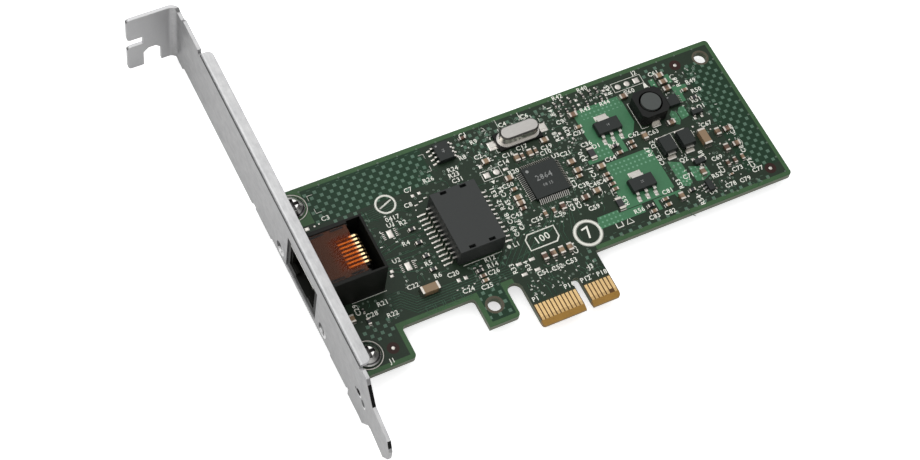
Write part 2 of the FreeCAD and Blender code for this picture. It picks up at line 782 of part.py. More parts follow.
# ---- contact wires: sprung wires bent down behind the carrier, tails in two rows ----
wires = new_body("jack_contacts", "-jack_face", "jack_centre", surface)
drawn = []
floor = "-board_thickness - tail_end"
behind, crown = "wire_back", "wire_top"
ahead, under = "(wire_back - wire_thickness)", "(wire_top - wire_thickness)"
jogged = [
    (behind, "wire_jog"),
    (behind + " - tail_step", "wire_jog - wire_bend"),
    (behind + " - tail_step", floor),
    (ahead + " - tail_step", floor),
    (ahead + " - tail_step", "wire_jog - wire_bend * 0.7"),
    (ahead, "wire_jog + wire_bend * 0.3"),
]
for first, tail in (("3.5", [(behind, floor), (ahead, floor)]), ("2.5", jogged)):
    path = new_sketch(wires, "XZ_Plane", first + " * wire_pitch - wire_width / 2")
    outline(path, tail + [
        (ahead, crown + " - wire_bend"),
        (ahead + " - wire_bend * 0.25", under + " - wire_bend * 0.2"),
        (ahead + " - wire_bend * 0.7", under),
        ("wire_crest + 0.1", under),
        ("wire_tip + 0.2", "wire_tip_height - wire_thickness * 0.8"),
        ("wire_tip", "wire_tip_height"),
        ("wire_crest", crown),
        (behind + " - wire_bend", crown),
        (behind + " - wire_bend * 0.3", crown + " - wire_bend * 0.3"),
        (behind, crown + " - wire_bend"),
    ])
    drawn.append(pad(wires, path, "wire_width"))
repeat(wires, drawn, [("Y_Axis", "4", "2 * wire_pitch")])


# ---- film: clear amber tape over the front of the open jack ----
film = new_box("jack_film", "-jack_face + jack_wall + film_clearance",
               "jack_centre - jack_width / 2 + rim_width + film_clearance",
               "surface + jack_height - ledge_depth", "film_length",
               "jack_width - 2 * rim_width - 2 * film_clearance", "film_thickness")
pieces.append(film)


def fine_lead(body, width, face, knee, toe, exit_height, thickness, shift="0"):
    """A narrow lead that slopes straight from its moulding down to its pad."""
    side = outline(new_sketch(body, "XZ_Plane", "-(%s)" % shift), [
        (face, exit_height), (knee, "0"), (toe, "0"), (toe, thickness),
        (face, "%s + %s" % (exit_height, thickness)),
    ])
    return pad(body, side, width, middle=True)


def formed_lead(body, width, face, knee, toe, exit_height, thickness, shift="0"):
    """A flat lead that leaves a moulding, turns down and lies on its pad."""
    side = outline(new_sketch(body, "XZ_Plane", "-(%s)" % shift), [
        (face, exit_height), (knee, exit_height),
        (knee + " + %s * 0.6" % thickness, "0"),
        (toe, "0"), (toe, thickness),
        (knee + " + %s * 1.6" % thickness, thickness),
        (knee + " + " + thickness, exit_height + " + " + thickness),
        (face, exit_height + " + " + thickness),
    ])
    return pad(body, side, width, middle=True)


def moulded_body(body, width, length, height, split, draft="moulding_draft"):
    """A moulding that tapers both ways from its parting line."""
    upper = new_sketch(body, "XY_Plane", split)
    rectangle(upper, "-(%s) / 2" % width, "(%s) / 2" % width, "-(%s) / 2" % length, "(%s) / 2" % length)
    pad(body, upper, "%s - (%s)" % (height, split), taper="-" + draft)
    lower = new_sketch(body, "XY_Plane", split)
    rectangle(lower, "-(%s) / 2" % width, "(%s) / 2" % width, "-(%s) / 2" % length, "(%s) / 2" % length)
    pad(body, lower, "%s - standoff" % split, back=True, taper="-" + draft)


# ---- isolation transformer: a moulding with two rows of twelve formed leads ----
magnetics = new_body("transformer_body", "magnetics_x", "magnetics_y", surface)
moulded_body(magnetics, "magnetics_width", "magnetics_length", "magnetics_height + standoff",
             "magnetics_exit + lead_thickness / 2", "0.6")
vents = new_sketch(magnetics, "XY_Plane", "magnetics_height + standoff")
for x_side in ("-", ""):
    for y_side in ("-", ""):
        far = y_side + "(magnetics_length / 2 - pocket_inset)"
        near = y_side + "(magnetics_length / 2 - pocket_inset - pocket_length)"
        low, high = (far, near) if y_side else (near, far)
        rectangle(vents, x_side + "pocket_spread - pocket_width / 2",
                  x_side + "pocket_spread + pocket_width / 2", low, high)
pocket(magnetics, vents, "pocket_depth")
magnetics_leads = new_body("transformer_leads", "magnetics_x", "magnetics_y", surface)
first = formed_lead(magnetics_leads, "magnetics_lead_width", "magnetics_width / 2", "magnetics_knee",
                    "magnetics_toe", "magnetics_exit", "lead_thickness",
                    "-magnetics_pitch * (magnetics_leads - 1) / 2")
repeat(magnetics_leads, [first], [("Y_Axis", "magnetics_leads", "magnetics_pitch"), ("Z_Axis", "2", None)])


# ---- controller: flat square chip with sixteen fine leads on each side ----
controller = new_body("controller_body", "controller_x", "controller_y", surface)
moulded_body(controller, "controller_side", "controller_side", "controller_height + standoff",
             "controller_exit + fine_lead_thickness / 2")
controller_leads = new_body("controller_leads_group", "controller_x", "controller_y", surface)
controller_leads.Label = "controller_leads"
first = fine_lead(controller_leads, "controller_lead_width", "controller_side / 2", "controller_knee",
                    "controller_toe", "controller_exit", "fine_lead_thickness",
                    "-controller_pitch * (controller_leads - 1) / 2")
repeat(controller_leads, [first],
       [("Y_Axis", "controller_leads", "controller_pitch"), ("Z_Axis", "4", None)])


# ---- memory chip and power chip: small mouldings with a row of leads each side ----
for name in ("memory", "switch", "reset"):
    wide = name + "_width"
    long = name + "_length"
    thick = "lead_thickness" if name == "memory" else "fine_lead_thickness"
    bend = formed_lead if name == "memory" else fine_lead
    chip = new_body(name + "_body", name + "_x", name + "_y", surface)
    moulded_body(chip, wide, long, name + "_height + standoff", "%s_exit + %s / 2" % (name, thick))
    legs = new_body(name + "_legs", name + "_x", name + "_y", surface)
    legs.Label = name + "_leads"
    first = bend(legs, name + "_lead_width", wide + " / 2", name + "_knee", name + "_toe",
                        name + "_exit", thick, "-%s_pitch * (%s_leads - 1) / 2" % (name, name))
    repeat(legs, [first], [("Y_Axis", name + "_leads", name + "_pitch"), ("Z_Axis", "2", None)])


def oval(sketch, length, width):
    """An outline of two straights and two half rounds."""
    radius = value(width) / 2
    reach = value(length) / 2 - radius
    up = FreeCAD.Vector(0, 0, 1)
    quarter = 1.5707963267948966
    right = Part.ArcOfCircle(Part.Circle(FreeCAD.Vector(reach, 0, 0), up, radius), -quarter, quarter)
    left = Part.ArcOfCircle(Part.Circle(FreeCAD.Vector(-reach, 0, 0), up, radius), quarter, 3 * quarter)
    above = Part.LineSegment(FreeCAD.Vector(reach, radius, 0), FreeCAD.Vector(-reach, radius, 0))
    below = Part.LineSegment(FreeCAD.Vector(-reach, -radius, 0), FreeCAD.Vector(reach, -radius, 0))
    for curve in (right, above, left, below):
        sketch.addGeometry(curve, False)
    for one, one_end, other, other_end in ((0, 2, 1, 1), (1, 2, 2, 1), (2, 2, 3, 1), (3, 2, 0, 1)):
        sketch.addConstraint(Sketcher.Constraint("Tangent", one, one_end, other, other_end))
    sketch.addConstraint(Sketcher.Constraint("Horizontal", 1))
    sketch.addConstraint(Sketcher.Constraint("Symmetric", 0, 3, 2, 3, -1, 1))
    index = sketch.addConstraint(Sketcher.Constraint("Radius", 0, radius))
    bind(sketch, "Constraints[%d]" % index, "(%s) / 2" % width)
    index = sketch.addConstraint(Sketcher.Constraint("DistanceX", 2, 3, 0, 3, 2 * reach))
    bind(sketch, "Constraints[%d]" % index, "(%s) - (%s)" % (length, width))
    return sketch


# ---- crystal: a drawn can on a flanged base, on a plastic carrier with two leads ----
crystal_base = new_body("crystal_base", "crystal_x", "crystal_y", surface)
pad(crystal_base, rectangle(new_sketch(crystal_base, "XY_Plane"), "-crystal_base_length / 2",
                            "crystal_base_length / 2", "-crystal_base_width / 2", "crystal_base_width / 2"),
    "crystal_base_height")
for side in ("-", ""):
    end = side + "crystal_base_length / 2"
    inside = side + "(crystal_base_length / 2 - crystal_lead_length)"
    low, high = (end, inside) if side else (inside, end)
    tray = rectangle(new_sketch(crystal_base, "XY_Plane"), low, high,
                     "-crystal_lead_width / 2 - 0.05", "crystal_lead_width / 2 + 0.05")
    pocket(crystal_base, tray, "crystal_lead_thickness", back=True)
crystal_can = new_body("crystal_can", "crystal_x", "crystal_y", surface + " + crystal_base_height")
pad(crystal_can, oval(new_sketch(crystal_can, "XY_Plane"), "crystal_rim_length", "crystal_rim_width"),
    "crystal_rim_height")
pad(crystal_can, oval(new_sketch(crystal_can, "XY_Plane"), "crystal_can_length", "crystal_can_width"),
    "crystal_can_height")
top_edges = ["Edge%d" % n for n, edge in enumerate(crystal_can.Tip.Shape.Edges, start=1)
             if abs(edge.BoundBox.ZMin - value("crystal_can_height")) < 1e-3]
bevel_edges(crystal_can, top_edges, "crystal_edge")
ends = []
for n, side in enumerate(("-", "")):
    reach = "crystal_lead_length + crystal_lead_reach"
    start = "crystal_x - crystal_base_length / 2 - crystal_lead_reach" if side else \
        "crystal_x + crystal_base_length / 2 - crystal_lead_length"
    ends.append(new_box("crystal_lead_%d" % (n + 1), start, "crystal_y - crystal_lead_width / 2", surface,
                        reach, "crystal_lead_width", "crystal_lead_thickness"))
new_group("crystal_leads", ends)


# ---- two voltage regulators: each a moulding with three leads and a wide tab ----
for place in ("upper", "lower"):
    row = "regulator_%s_y" % place
    regulator = new_body("regulator_%s_body" % place, "regulator_x", row, surface)
    moulded_body(regulator, "regulator_width", "regulator_length", "regulator_height + standoff",
                 "regulator_exit + regulator_lead_thickness / 2")
    legs = new_body("regulator_%s_leads" % place, "regulator_x", row, surface)
    legs.Placement.Rotation = FreeCAD.Rotation(FreeCAD.Vector(0, 0, 1), -90)
    lead = formed_lead(legs, "regulator_lead_width", "regulator_length / 2", "regulator_knee",
                       "regulator_toe", "regulator_exit", "regulator_lead_thickness", "-regulator_pitch")
    repeat(legs, [lead], [("Y_Axis", "3", "regulator_pitch")])
    tab = new_body("regulator_%s_tab" % place, "regulator_x", row, surface)
    tab.Placement.Rotation = FreeCAD.Rotation(FreeCAD.Vector(0, 0, 1), 90)
    formed_lead(tab, "regulator_tab_width", "regulator_length / 2", "regulator_knee",
                "regulator_toe", "regulator_exit", "regulator_lead_thickness")


# ---- power inductor: ferrite sleeve, drum core with its winding, two clips ----
sleeve = new_body("inductor_sleeve", "inductor_x", "inductor_y", surface)
side_half, cut = "inductor_side / 2", "inductor_corner"
ring = outline(new_sketch(sleeve, "XY_Plane", "inductor_foot"), [
    ("-%s + %s" % (side_half, cut), "-" + side_half), ("%s - %s" % (side_half, cut), "-" + side_half),
    (side_half, "-%s + %s" % (side_half, cut)), (side_half, "%s - %s" % (side_half, cut)),
    ("%s - %s" % (side_half, cut), side_half), ("-%s + %s" % (side_half, cut), side_half),
    ("-" + side_half, "%s - %s" % (side_half, cut)), ("-" + side_half, "-%s + %s" % (side_half, cut)),
])
pad(sleeve, ring, "inductor_height")
pocket(sleeve, circle(new_sketch(sleeve, "XY_Plane"), "0", "0", "inductor_bore"))
core = new_body("inductor_core", "inductor_x", "inductor_y", surface)
core_top = "(inductor_foot + inductor_height + core_proud)"
drum = outline(new_sketch(core, "XZ_Plane"), [
    ("0", "0"), ("core_waist / 2", "0"), ("core_waist / 2", core_top + " - core_flange_height"),
    ("core_flange / 2", core_top + " - core_flange_height"), ("core_flange / 2", core_top), ("0", core_top),
])
spin = core.newObject("PartDesign::Revolution", "core_turned")
spin.Profile = drum
spin.ReferenceAxis = (drum, ["V_Axis"])
spin.Angle = 360
doc.recompute()
winding = new_body("inductor_winding", "inductor_x", "inductor_y", surface)
coil = new_sketch(winding, "XY_Plane", "inductor_foot")
circle(coil, "0", "0", "winding_size")
circle(coil, "0", "0", "core_waist")
pad(winding, coil, core_top + " - core_flange_height - inductor_foot")
clips = new_body("inductor_clips", "inductor_x", "inductor_y", surface)
clip = outline(new_sketch(clips, "YZ_Plane"), [
    ("-%s - clip_reach" % side_half, "0"), ("-%s + 0.6" % side_half, "0"),
    ("-%s + 0.6" % side_half, "clip_thickness"), ("-%s" % side_half, "clip_thickness"),
    ("-%s" % side_half, "clip_height"), ("-%s - clip_thickness" % side_half, "clip_height"),
    ("-%s - clip_thickness" % side_half, "clip_thickness"), ("-%s - clip_reach" % side_half, "clip_thickness"),
])
clip_pad = pad(clips, clip, "clip_width", middle=True)
repeat(clips, [clip_pad], [("Z_Axis", "2", None)])


# ---- two rectifier diodes: mouldings with a broad lead at each end ----
diodes = new_body("diode_bodies", "diode_x", "diode_y", surface)
moulded_body(diodes, "diode_width", "diode_length", "diode_height + standoff",
             "diode_exit + diode_lead_thickness / 2")
repeat(diodes, [item for item in diodes.Group if item.TypeId == "PartDesign::Pad"],
       [("X_Axis", "2", "diode_step")])
diode_ends = []
for n, turn in enumerate((90, -90, 90, -90)):
    legs = doc.addObject("PartDesign::Body", "diode_lead_%d" % (n + 1))
    bind(legs, "Placement.Base.x", "diode_x + %d * diode_step" % (n // 2))
    bind(legs, "Placement.Base.y", "diode_y")
    bind(legs, "Placement.Base.z", surface)
    legs.Placement.Rotation = FreeCAD.Rotation(FreeCAD.Vector(0, 0, 1), turn)
    formed_lead(legs, "diode_lead_width", "diode_length / 2", "diode_knee", "diode_toe", "diode_exit",
                "diode_lead_thickness")
    diode_ends.append(legs)
new_group("diode_leads", diode_ends)


# ---- two transistors: two leads on one side and one on the other ----
for name, places in (("transistor", ((-90, "-1"), (-90, "1"), (90, "0"))),
                     ("second", ((90, "-1"), (90, "1"), (-90, "0")))):
    label = "transistor" if name == "transistor" else "second_transistor"
    spot = (name + "_x", name + "_y", surface)
    transistor = new_body(label + "_body", *spot)
    moulded_body(transistor, "transistor_width", "transistor_length", "transistor_height + standoff",
                 "transistor_exit + fine_lead_thickness / 2")
    feet = []
    for n, (turn, shift) in enumerate(places, start=1):
        leg = new_body("%s_lead_%d" % (label, n), *spot)
        pieces.pop()
        leg.Placement.Rotation = FreeCAD.Rotation(FreeCAD.Vector(0, 0, 1), turn)
        formed_lead(leg, "transistor_lead_width", "transistor_length / 2", "transistor_knee",
                    "transistor_toe", "transistor_exit", "fine_lead_thickness",
                    shift + " * transistor_pitch / 2")
        feet.append(leg)
    new_group(label + "_leads", feet)


# ---- signal lamps: two small blocks whose lenses look out of the bracket ----
lamp_blocks = []
lamp_lenses = []
for n, side in enumerate("-+"):
    row = "jack_centre %s lamp_spacing / 2" % side
    lamp_blocks.append(new_box("lamp_block_%d" % (n + 1), "-lamp_x", row + " - lamp_width / 2", surface,
                               "lamp_length", "lamp_width", "lamp_body_height"))
    lens = new_box("lamp_lens_%d" % (n + 1), "-lamp_x - lamp_lens_length", row + " - lamp_lens / 2",
                   surface + " + lamp_height - lamp_lens / 2", "lamp_lens_length", "lamp_lens", "lamp_lens")
    lamp_lenses.append(lens)
new_group("lamp_bodies", lamp_blocks)
new_group("lamp_lenses", lamp_lenses)


def chip(label, body_size, x, y, upright):
    """One chip part: a ceramic body between two plated ends."""
    long, wide, high, end = ("%s_%s" % (body_size, word) for word in ("length", "width", "height", "end"))
    plating = "end_plating"
    made = []
    steps = (("body", "-%s / 2 + %s" % (long, end), "%s - 2 * %s" % (long, end), plating),
             ("near", "-%s / 2" % long, end, "0"),
             ("far", "%s / 2 - %s" % (long, end), end, "0"))
    for part_name, start, run, inset in steps:
        across = "-(%s) / 2 + %s" % (wide, inset)
        breadth = "%s - 2 * %s" % (wide, inset)
        base = surface + " + " + inset
        tall = "%s - 2 * %s" % (high, inset)
        if upright:
            made.append(new_box(label + "_" + part_name, "%s + %s" % (x, across), "%s + %s" % (y, start),
                                base, breadth, run, tall))
        else:
            made.append(new_box(label + "_" + part_name, "%s + %s" % (x, start), "%s + %s" % (y, across),
                                base, run, breadth, tall))
    return made


# ---- chip parts: where each one sits, its body size and whether it stands along Y ----
CAPACITORS = [
    (-3.8, 15.7, "chip3", 1), (-1.6, 15.7, "chip3", 1), (0.6, 15.7, "chip3", 1), (2.75, 15.7, "chip3", 1),
    (-19.3, 16.9, "chip2", 0), (-19.3, 15.6, "chip2", 0), (-7.1, 52.2, "chip2", 0),
    (-4.9, 44.1, "chip3", 0), (-1.9, 37.8, "chip3", 0), (-2.1, 34.7, "chip2", 0),
    (-2.45, 32.2, "chip3", 0), (-2.5, 30.6, "chip3", 0), (-2.5, 29.2, "chip2", 0),
    (2.4, 42.1, "chip3", 1), (3.95, 42.1, "chip2", 1), (5.95, 42.1, "chip3", 1), (7.6, 42.2, "chip2", 1),
    (10.8, 44.0, "chip3", 0), (14.0, 36.1, "chip3", 0), (14.3, 33.4, "chip3", 0), (14.0, 31.9, "chip2", 0),
    (1.7, 25.9, "chip2", 1), (4.0, 25.9, "chip2", 1), (6.4, 26.0, "chip3", 1), (12.5, 26.1, "chip3", 0),
    (15.9, 26.7, "chip3", 0), (20.65, 47.75, "chip3", 0), (20.35, 44.2, "chip2", 0),
    (34.7, 47.7, "chip3", 0), (45.9, 49.7, "chip3", 0), (45.9, 47.7, "chip3", 0), (45.8, 45.7, "chip3", 0),
    (20.1, 32.2, "chip3", 0), (20.25, 29.8, "chip2", 0), (20.35, 28.4, "chip2", 0), (20.35, 26.9, "chip2", 0),
    (20.3, 25.4, "chip2", 0), (42.0, 36.6, "chip3", 0), (34.1, 35.7, "chip3", 1), (30.1, 35.5, "chip2", 0),
    (30.1, 34.1, "chip2", 0), (26.2, 33.95, "chip2", 0), (51.3, 29.9, "chip3", 1), (53.9, 29.8, "chip3", 0),
    (51.1, 25.1, "chip3", 1), (53.9, 25.2, "chip3", 0), (49.3, 21.2, "chip2", 1), (51.3, 21.3, "chip2", 1),
    (53.5, 21.4, "chip2", 1), (42.3, 21.4, "chip3", 1), (34.1, 17.4, "chip3", 1), (30.1, 18.3, "chip2", 0),
    (30.1, 16.7, "chip2", 0), (26.0, 16.5, "chip2", 0), (48.6, 18.2, "chip1", 0), (49.8, 43.7, "chip2", 0),
]
RESISTORS = [
    (-29.15, 34.3, "chip2", 0), (-29.15, 30.5, "chip2", 0), (-29.15, 26.7, "chip2", 0),
    (-29.15, 22.9, "chip2", 0), (-19.4, 18.35, "chip2", 0), (19.8, 36.4, "chip5", 1),
    (19.5, 21.5, "chip5", 1), (26.0, 36.1, "chip2", 0), (26.0, 18.1, "chip2", 0), (-48.4, 16.6, "chip2", 1),
    (-48.4, 19.6, "chip1", 1), (37.4, 18.0, "chip2", 0), (50.9, 40.9, "chip2", 0),
    (18.0, 51.9, "chip1", 1), (18.0, 49.6, "chip1", 1), (20.0, 51.9, "chip1", 1), (20.0, 49.6, "chip1", 1),
    (22.0, 51.9, "chip1", 1), (22.0, 49.6, "chip1", 1), (25.6, 51.9, "chip1", 1), (25.6, 49.6, "chip1", 1),
    (27.6, 51.9, "chip1", 1), (29.5, 51.9, "chip1", 1), (29.5, 49.6, "chip1", 1),
]
LINE_CAPACITORS = [(-32.25, 18.4, "chip4", 0), (47.2, 29.5, "chip4", 1), (-51.7, 18.6, "chip3", 1)]
for label, rows in (("capacitor", CAPACITORS), ("resistor", RESISTORS), ("line_capacitor", LINE_CAPACITORS)):
    made = [chip("%s_%d" % (label, n), body_size, x, y, upright)
            for n, (x, y, body_size, upright) in enumerate(rows, start=1)]
    new_group(label + "s", [bodies[0] for bodies in made])
    new_group(label + "_ends", [box for bodies in made for box in bodies[1:]])


# ---- check every object and write each piece ----
doc.recompute()
for item in doc.Objects:
    if "Invalid" in item.State or "Error" in item.State:
        raise RuntimeError("%s failed: %s" % (item.Label, item.State))
for piece in pieces:
    if piece.Shape.isNull() or not piece.Shape.isValid():
        raise RuntimeError(piece.Label + " is not a valid shape")
os.makedirs("parts", exist_ok=True)
for piece in pieces:
    piece.Shape.exportStep("parts/%s.step" % piece.Label)
    print("%-26s %3d solids %10.2f mm3" % (piece.Label, len(piece.Shape.Solids), piece.Shape.Volume))
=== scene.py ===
import bmesh
import bpy
import math
import random
from mathutils import Matrix, Vector


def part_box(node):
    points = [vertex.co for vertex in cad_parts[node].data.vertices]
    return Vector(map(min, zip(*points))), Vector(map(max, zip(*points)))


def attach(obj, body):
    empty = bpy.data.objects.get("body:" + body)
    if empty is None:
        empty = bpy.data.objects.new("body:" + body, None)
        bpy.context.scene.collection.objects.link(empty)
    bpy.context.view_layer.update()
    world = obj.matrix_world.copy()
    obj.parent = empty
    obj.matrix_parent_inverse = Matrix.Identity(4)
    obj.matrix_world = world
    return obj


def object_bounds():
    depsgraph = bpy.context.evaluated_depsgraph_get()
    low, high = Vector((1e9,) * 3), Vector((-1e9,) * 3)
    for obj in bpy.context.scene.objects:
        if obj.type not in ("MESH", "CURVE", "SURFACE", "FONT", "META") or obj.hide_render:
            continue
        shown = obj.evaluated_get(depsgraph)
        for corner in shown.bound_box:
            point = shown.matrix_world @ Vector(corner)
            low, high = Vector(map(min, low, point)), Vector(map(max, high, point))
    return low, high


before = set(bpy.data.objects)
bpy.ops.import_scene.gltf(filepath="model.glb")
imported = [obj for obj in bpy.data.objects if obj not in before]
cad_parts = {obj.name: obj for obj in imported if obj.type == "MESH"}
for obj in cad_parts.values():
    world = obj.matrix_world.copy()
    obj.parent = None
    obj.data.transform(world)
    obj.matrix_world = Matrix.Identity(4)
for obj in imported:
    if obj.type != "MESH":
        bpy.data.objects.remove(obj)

cad_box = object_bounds()
lowest = Vector(cad_box[0])
bpy.ops.object.select_all(action="DESELECT")


# ---- Camera and studio ----
# A long lens looks down on the component side from beside the bracket.  One large soft
# box hangs high beyond the bracket's tab and a weak one beside its face, under a bright
# ceiling and a darker horizon, and the part lies on a pale floor.
cam_data = bpy.data.cameras.new("camera")
cam_data.lens = 79.68
cam_data.sensor_width = 36.0
cam_data.clip_start = 0.01
cam = bpy.data.objects.new("camera", cam_data)
bpy.context.scene.collection.objects.link(cam)
right = Vector((0.88932, -0.44378, 0.11027))
up = Vector((0.33780, 0.80011, 0.49570))
back = Vector((-0.30821, -0.40359, 0.86146))
turn = Matrix((right, up, back)).transposed().to_4x4()
cam.matrix_world = Matrix.Translation((-0.164233, -0.160547, 0.407426)) @ turn
bpy.context.scene.camera = cam
bpy.context.scene.view_settings.view_transform = "Standard"


def put(tree, kind, *feeds, **settings):
    """Place one node, make its choices and feed its sockets in order."""
    node = tree.nodes.new(kind)
    for setting, choice in settings.items():
        setattr(node, setting, choice)
    for socket, feed in zip(node.inputs, feeds):
        if isinstance(feed, bpy.types.NodeSocket):
            tree.links.new(feed, socket)
        elif feed is not None:
            socket.default_value = feed
    return node


def maths(tree, operation, one, other=0.0, third=0.0):
    """The result of one step of arithmetic on values."""
    return put(tree, "ShaderNodeMath", one, other, third, operation=operation).outputs[0]


plain_white = (1.0, 1.0, 1.0, 1.0)
world = bpy.data.worlds.new("studio")
bpy.context.scene.world = world
world.use_nodes = True
sky = world.node_tree
sky.nodes.clear()
rays = put(sky, "ShaderNodeLightPath")
seen = maths(sky, "MAXIMUM", rays.outputs["Is Camera Ray"], rays.outputs["Is Transmission Ray"])
height = put(sky, "ShaderNodeSeparateXYZ", put(sky, "ShaderNodeTexCoord").outputs["Generated"]).outputs[2]
ceiling = put(sky, "ShaderNodeMapRange", height, 0.30, 0.62, 0.10, 1.0).outputs[0]
mirrored = maths(sky, "MULTIPLY_ADD", rays.outputs["Is Glossy Ray"], 0.10, 0.90)
soft = put(sky, "ShaderNodeBackground", plain_white, maths(sky, "MULTIPLY", ceiling, mirrored))
white = put(sky, "ShaderNodeBackground", plain_white, 1.0)
either = put(sky, "ShaderNodeMixShader", seen, soft.outputs[0], white.outputs[0])
put(sky, "ShaderNodeOutputWorld", either.outputs[0])


def soft_box(name, spot, aim, width, height, power):
    """A rectangular lamp of a size in metres and a power in watts, turned to what it lights."""
    lamp = bpy.data.lights.new(name, "AREA")
    lamp.shape = "RECTANGLE"
    lamp.size = width
    lamp.size_y = height
    lamp.energy = power
    box = bpy.data.objects.new(name, lamp)
    bpy.context.scene.collection.objects.link(box)
    turned = (Vector(spot) - Vector(aim)).to_track_quat("Z", "Y").to_matrix().to_4x4()
    box.matrix_world = Matrix.Translation(spot) @ turned


soft_box("soft_box_key", (-0.16, 0.28, 0.42), (0.0, 0.03, 0.0), 0.62, 0.50, 1.05)
soft_box("soft_box_fill", (-0.45, -0.05, 0.25), (-0.05, 0.03, 0.0), 0.40, 0.40, 0.12)

bpy.ops.mesh.primitive_plane_add(size=6.0, location=(0.0, 0.0, 0.0))
floor = bpy.context.object
floor.name = "floor"
floor.data.transform(Matrix.Translation((0.0, 0.0, lowest.z)))
paper = bpy.data.materials.new("studio_paper")
paper.use_nodes = True
sheet = paper.node_tree
sheet.nodes.clear()
rays = put(sheet, "ShaderNodeLightPath")
glow = maths(sheet, "MULTIPLY_ADD", rays.outputs["Is Camera Ray"], 0.62,
             maths(sheet, "MULTIPLY", rays.outputs["Is Glossy Ray"], 0.12))
lit = put(sheet, "ShaderNodeBsdfDiffuse", (0.86, 0.86, 0.86, 1.0))
shine = put(sheet, "ShaderNodeEmission", plain_white, glow)
both = put(sheet, "ShaderNodeAddShader", lit.outputs[0], shine.outputs[0])
put(sheet, "ShaderNodeOutputMaterial", both.outputs[0])
floor.data.materials.append(paper)


# ---- Circuit board ----
# Glass laminate routed to shape, copper on both faces under a dark green mask.  The
# outer millimetre has no copper, and squares of spare copper fill the empty areas.
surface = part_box("circuit_board")[1].z
mm = 0.001
tree = grain = bpy.data.node_groups.new("grain", "ShaderNodeTree")


def product(first, *others):
    """Several values multiplied, in the material at hand."""
    for other in others:
        first = maths(tree, "MULTIPLY", first, other)
    return first


def any_of(first, *others):
    """The largest of several values, in the material at hand."""
    for other in others:
        first = maths(tree, "MAXIMUM", first, other)
    return first


def near(value, middle, room):
    """1 where a value is within room of the middle, 0 elsewhere."""
    return maths(tree, "COMPARE", value, middle, room)


def below(value, limit):
    """1 where a value is under the limit, 0 elsewhere."""
    return maths(tree, "LESS_THAN", value, limit)


def fade(value, start, end, at_start=1.0, at_end=0.0):
    """A value that runs evenly from one level at the start to another at the end."""
    return put(tree, "ShaderNodeMapRange", value, start, end, at_start, at_end).outputs[0]


def noise(vector, scale, detail, rough):
    """A soft random pattern, from 0 to 1."""
    return put(tree, "ShaderNodeTexNoise", vector, None, scale, detail, rough).outputs[0]


def parts_of(vector):
    """The three parts of a vector."""
    return put(tree, "ShaderNodeSeparateXYZ", vector).outputs


def face_direction():
    """The three parts of the way that a face looks."""
    return parts_of(put(tree, "ShaderNodeNewGeometry").outputs["Normal"])


for way, names in (("INPUT", ("Vector", "Colour", "Size", "Depth", "Roughness", "Spread")),
                   ("OUTPUT", ("Color", "Roughness", "Height"))):
    for name in names:
        kind = {"Vector": "Vector", "Colour": "Color", "Color": "Color"}.get(name, "Float")
        grain.interface.new_socket(name, in_out=way, socket_type="NodeSocket" + kind)
given = put(grain, "NodeGroupInput").outputs
scaled = maths(grain, "DIVIDE", 1.0, given["Size"])
fine = noise(given["Vector"], scaled, 3.0, 0.6)
broad = noise(given["Vector"], product(scaled, 0.11), 3.0, 0.55)
swing = maths(grain, "ADD", product(fine, 0.55), product(broad, 0.45))
swing = product(maths(grain, "SUBTRACT", swing, 0.5), 2.0)
tinted = put(grain, "ShaderNodeVectorMath", given["Colour"], operation="SCALE")
grain.links.new(maths(grain, "MULTIPLY_ADD", swing, given["Depth"], 1.0), tinted.inputs["Scale"])
uneven = maths(grain, "SUBTRACT", broad, 0.5)
rough = maths(grain, "MULTIPLY_ADD", uneven, given["Spread"], given["Roughness"])
put(grain, "NodeGroupOutput", tinted.outputs[0], rough, fine)


def start_material(name, metallic, specular=0.5):
    """A new material: its tree, its shader and the object's own place in millimetres."""
    material = bpy.data.materials.new(name)
    material.use_nodes = True
    tree = material.node_tree
    shader = tree.nodes["Principled BSDF"]
    shader.inputs["Metallic"].default_value = metallic
    shader.inputs["Specular IOR Level"].default_value = specular
    spot = put(tree, "ShaderNodeVectorMath", put(tree, "ShaderNodeTexCoord").outputs["Object"],
               operation="SCALE")
    spot.inputs["Scale"].default_value = 1 / mm
    return material, tree, shader, spot.outputs[0]


relief_depth = 0.08 * mm


def add_grain(tree, shader, spot, colour, size, depth, roughness, spread, bump, bevel=0.0):
    """Feed a shader with grained colour, roughness and relief of one finish."""
    colour = colour if isinstance(colour, bpy.types.NodeSocket) else (*colour, 1.0)
    given = put(tree, "ShaderNodeGroup", spot, colour, size, depth, roughness, spread, node_tree=grain)
    relief = put(tree, "ShaderNodeBump", bump, relief_depth)
    tree.links.new(given.outputs["Height"], relief.inputs["Height"])
    if bevel:
        edge = put(tree, "ShaderNodeBevel", bevel * mm, samples=4)
        tree.links.new(edge.outputs[0], relief.inputs["Normal"])
    tree.links.new(given.outputs["Color"], shader.inputs["Base Color"])
    tree.links.new(given.outputs["Roughness"], shader.inputs["Roughness"])
    tree.links.new(relief.outputs[0], shader.inputs["Normal"])


def dress(material, *nodes):
    """Give carried-over pieces their material."""
    for node in nodes:
        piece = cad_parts[node]
        for slot in piece.material_slots:
            slot.material = material
        if not piece.material_slots:
            piece.data.materials.append(material)


def inside(*rectangles):
    """1 inside any of the rectangles (left, right, low, high) of the board, 0 outside them."""
    return any_of(*[product(near(place[0], (left + right) / 2, (right - left) / 2),
                            near(place[1], (low + high) / 2, (high - low) / 2))
                    for left, right, low, high in rectangles])


def away_from(one, other, axes=(0, 1)):
    """How far a place is from a point of the board, or of the plane of two other axes."""
    flat = put(tree, "ShaderNodeCombineXYZ", place[axes[0]], place[axes[1]]).outputs[0]
    return put(tree, "ShaderNodeVectorMath", flat, (one, other, 0.0), operation="DISTANCE").outputs["Value"]


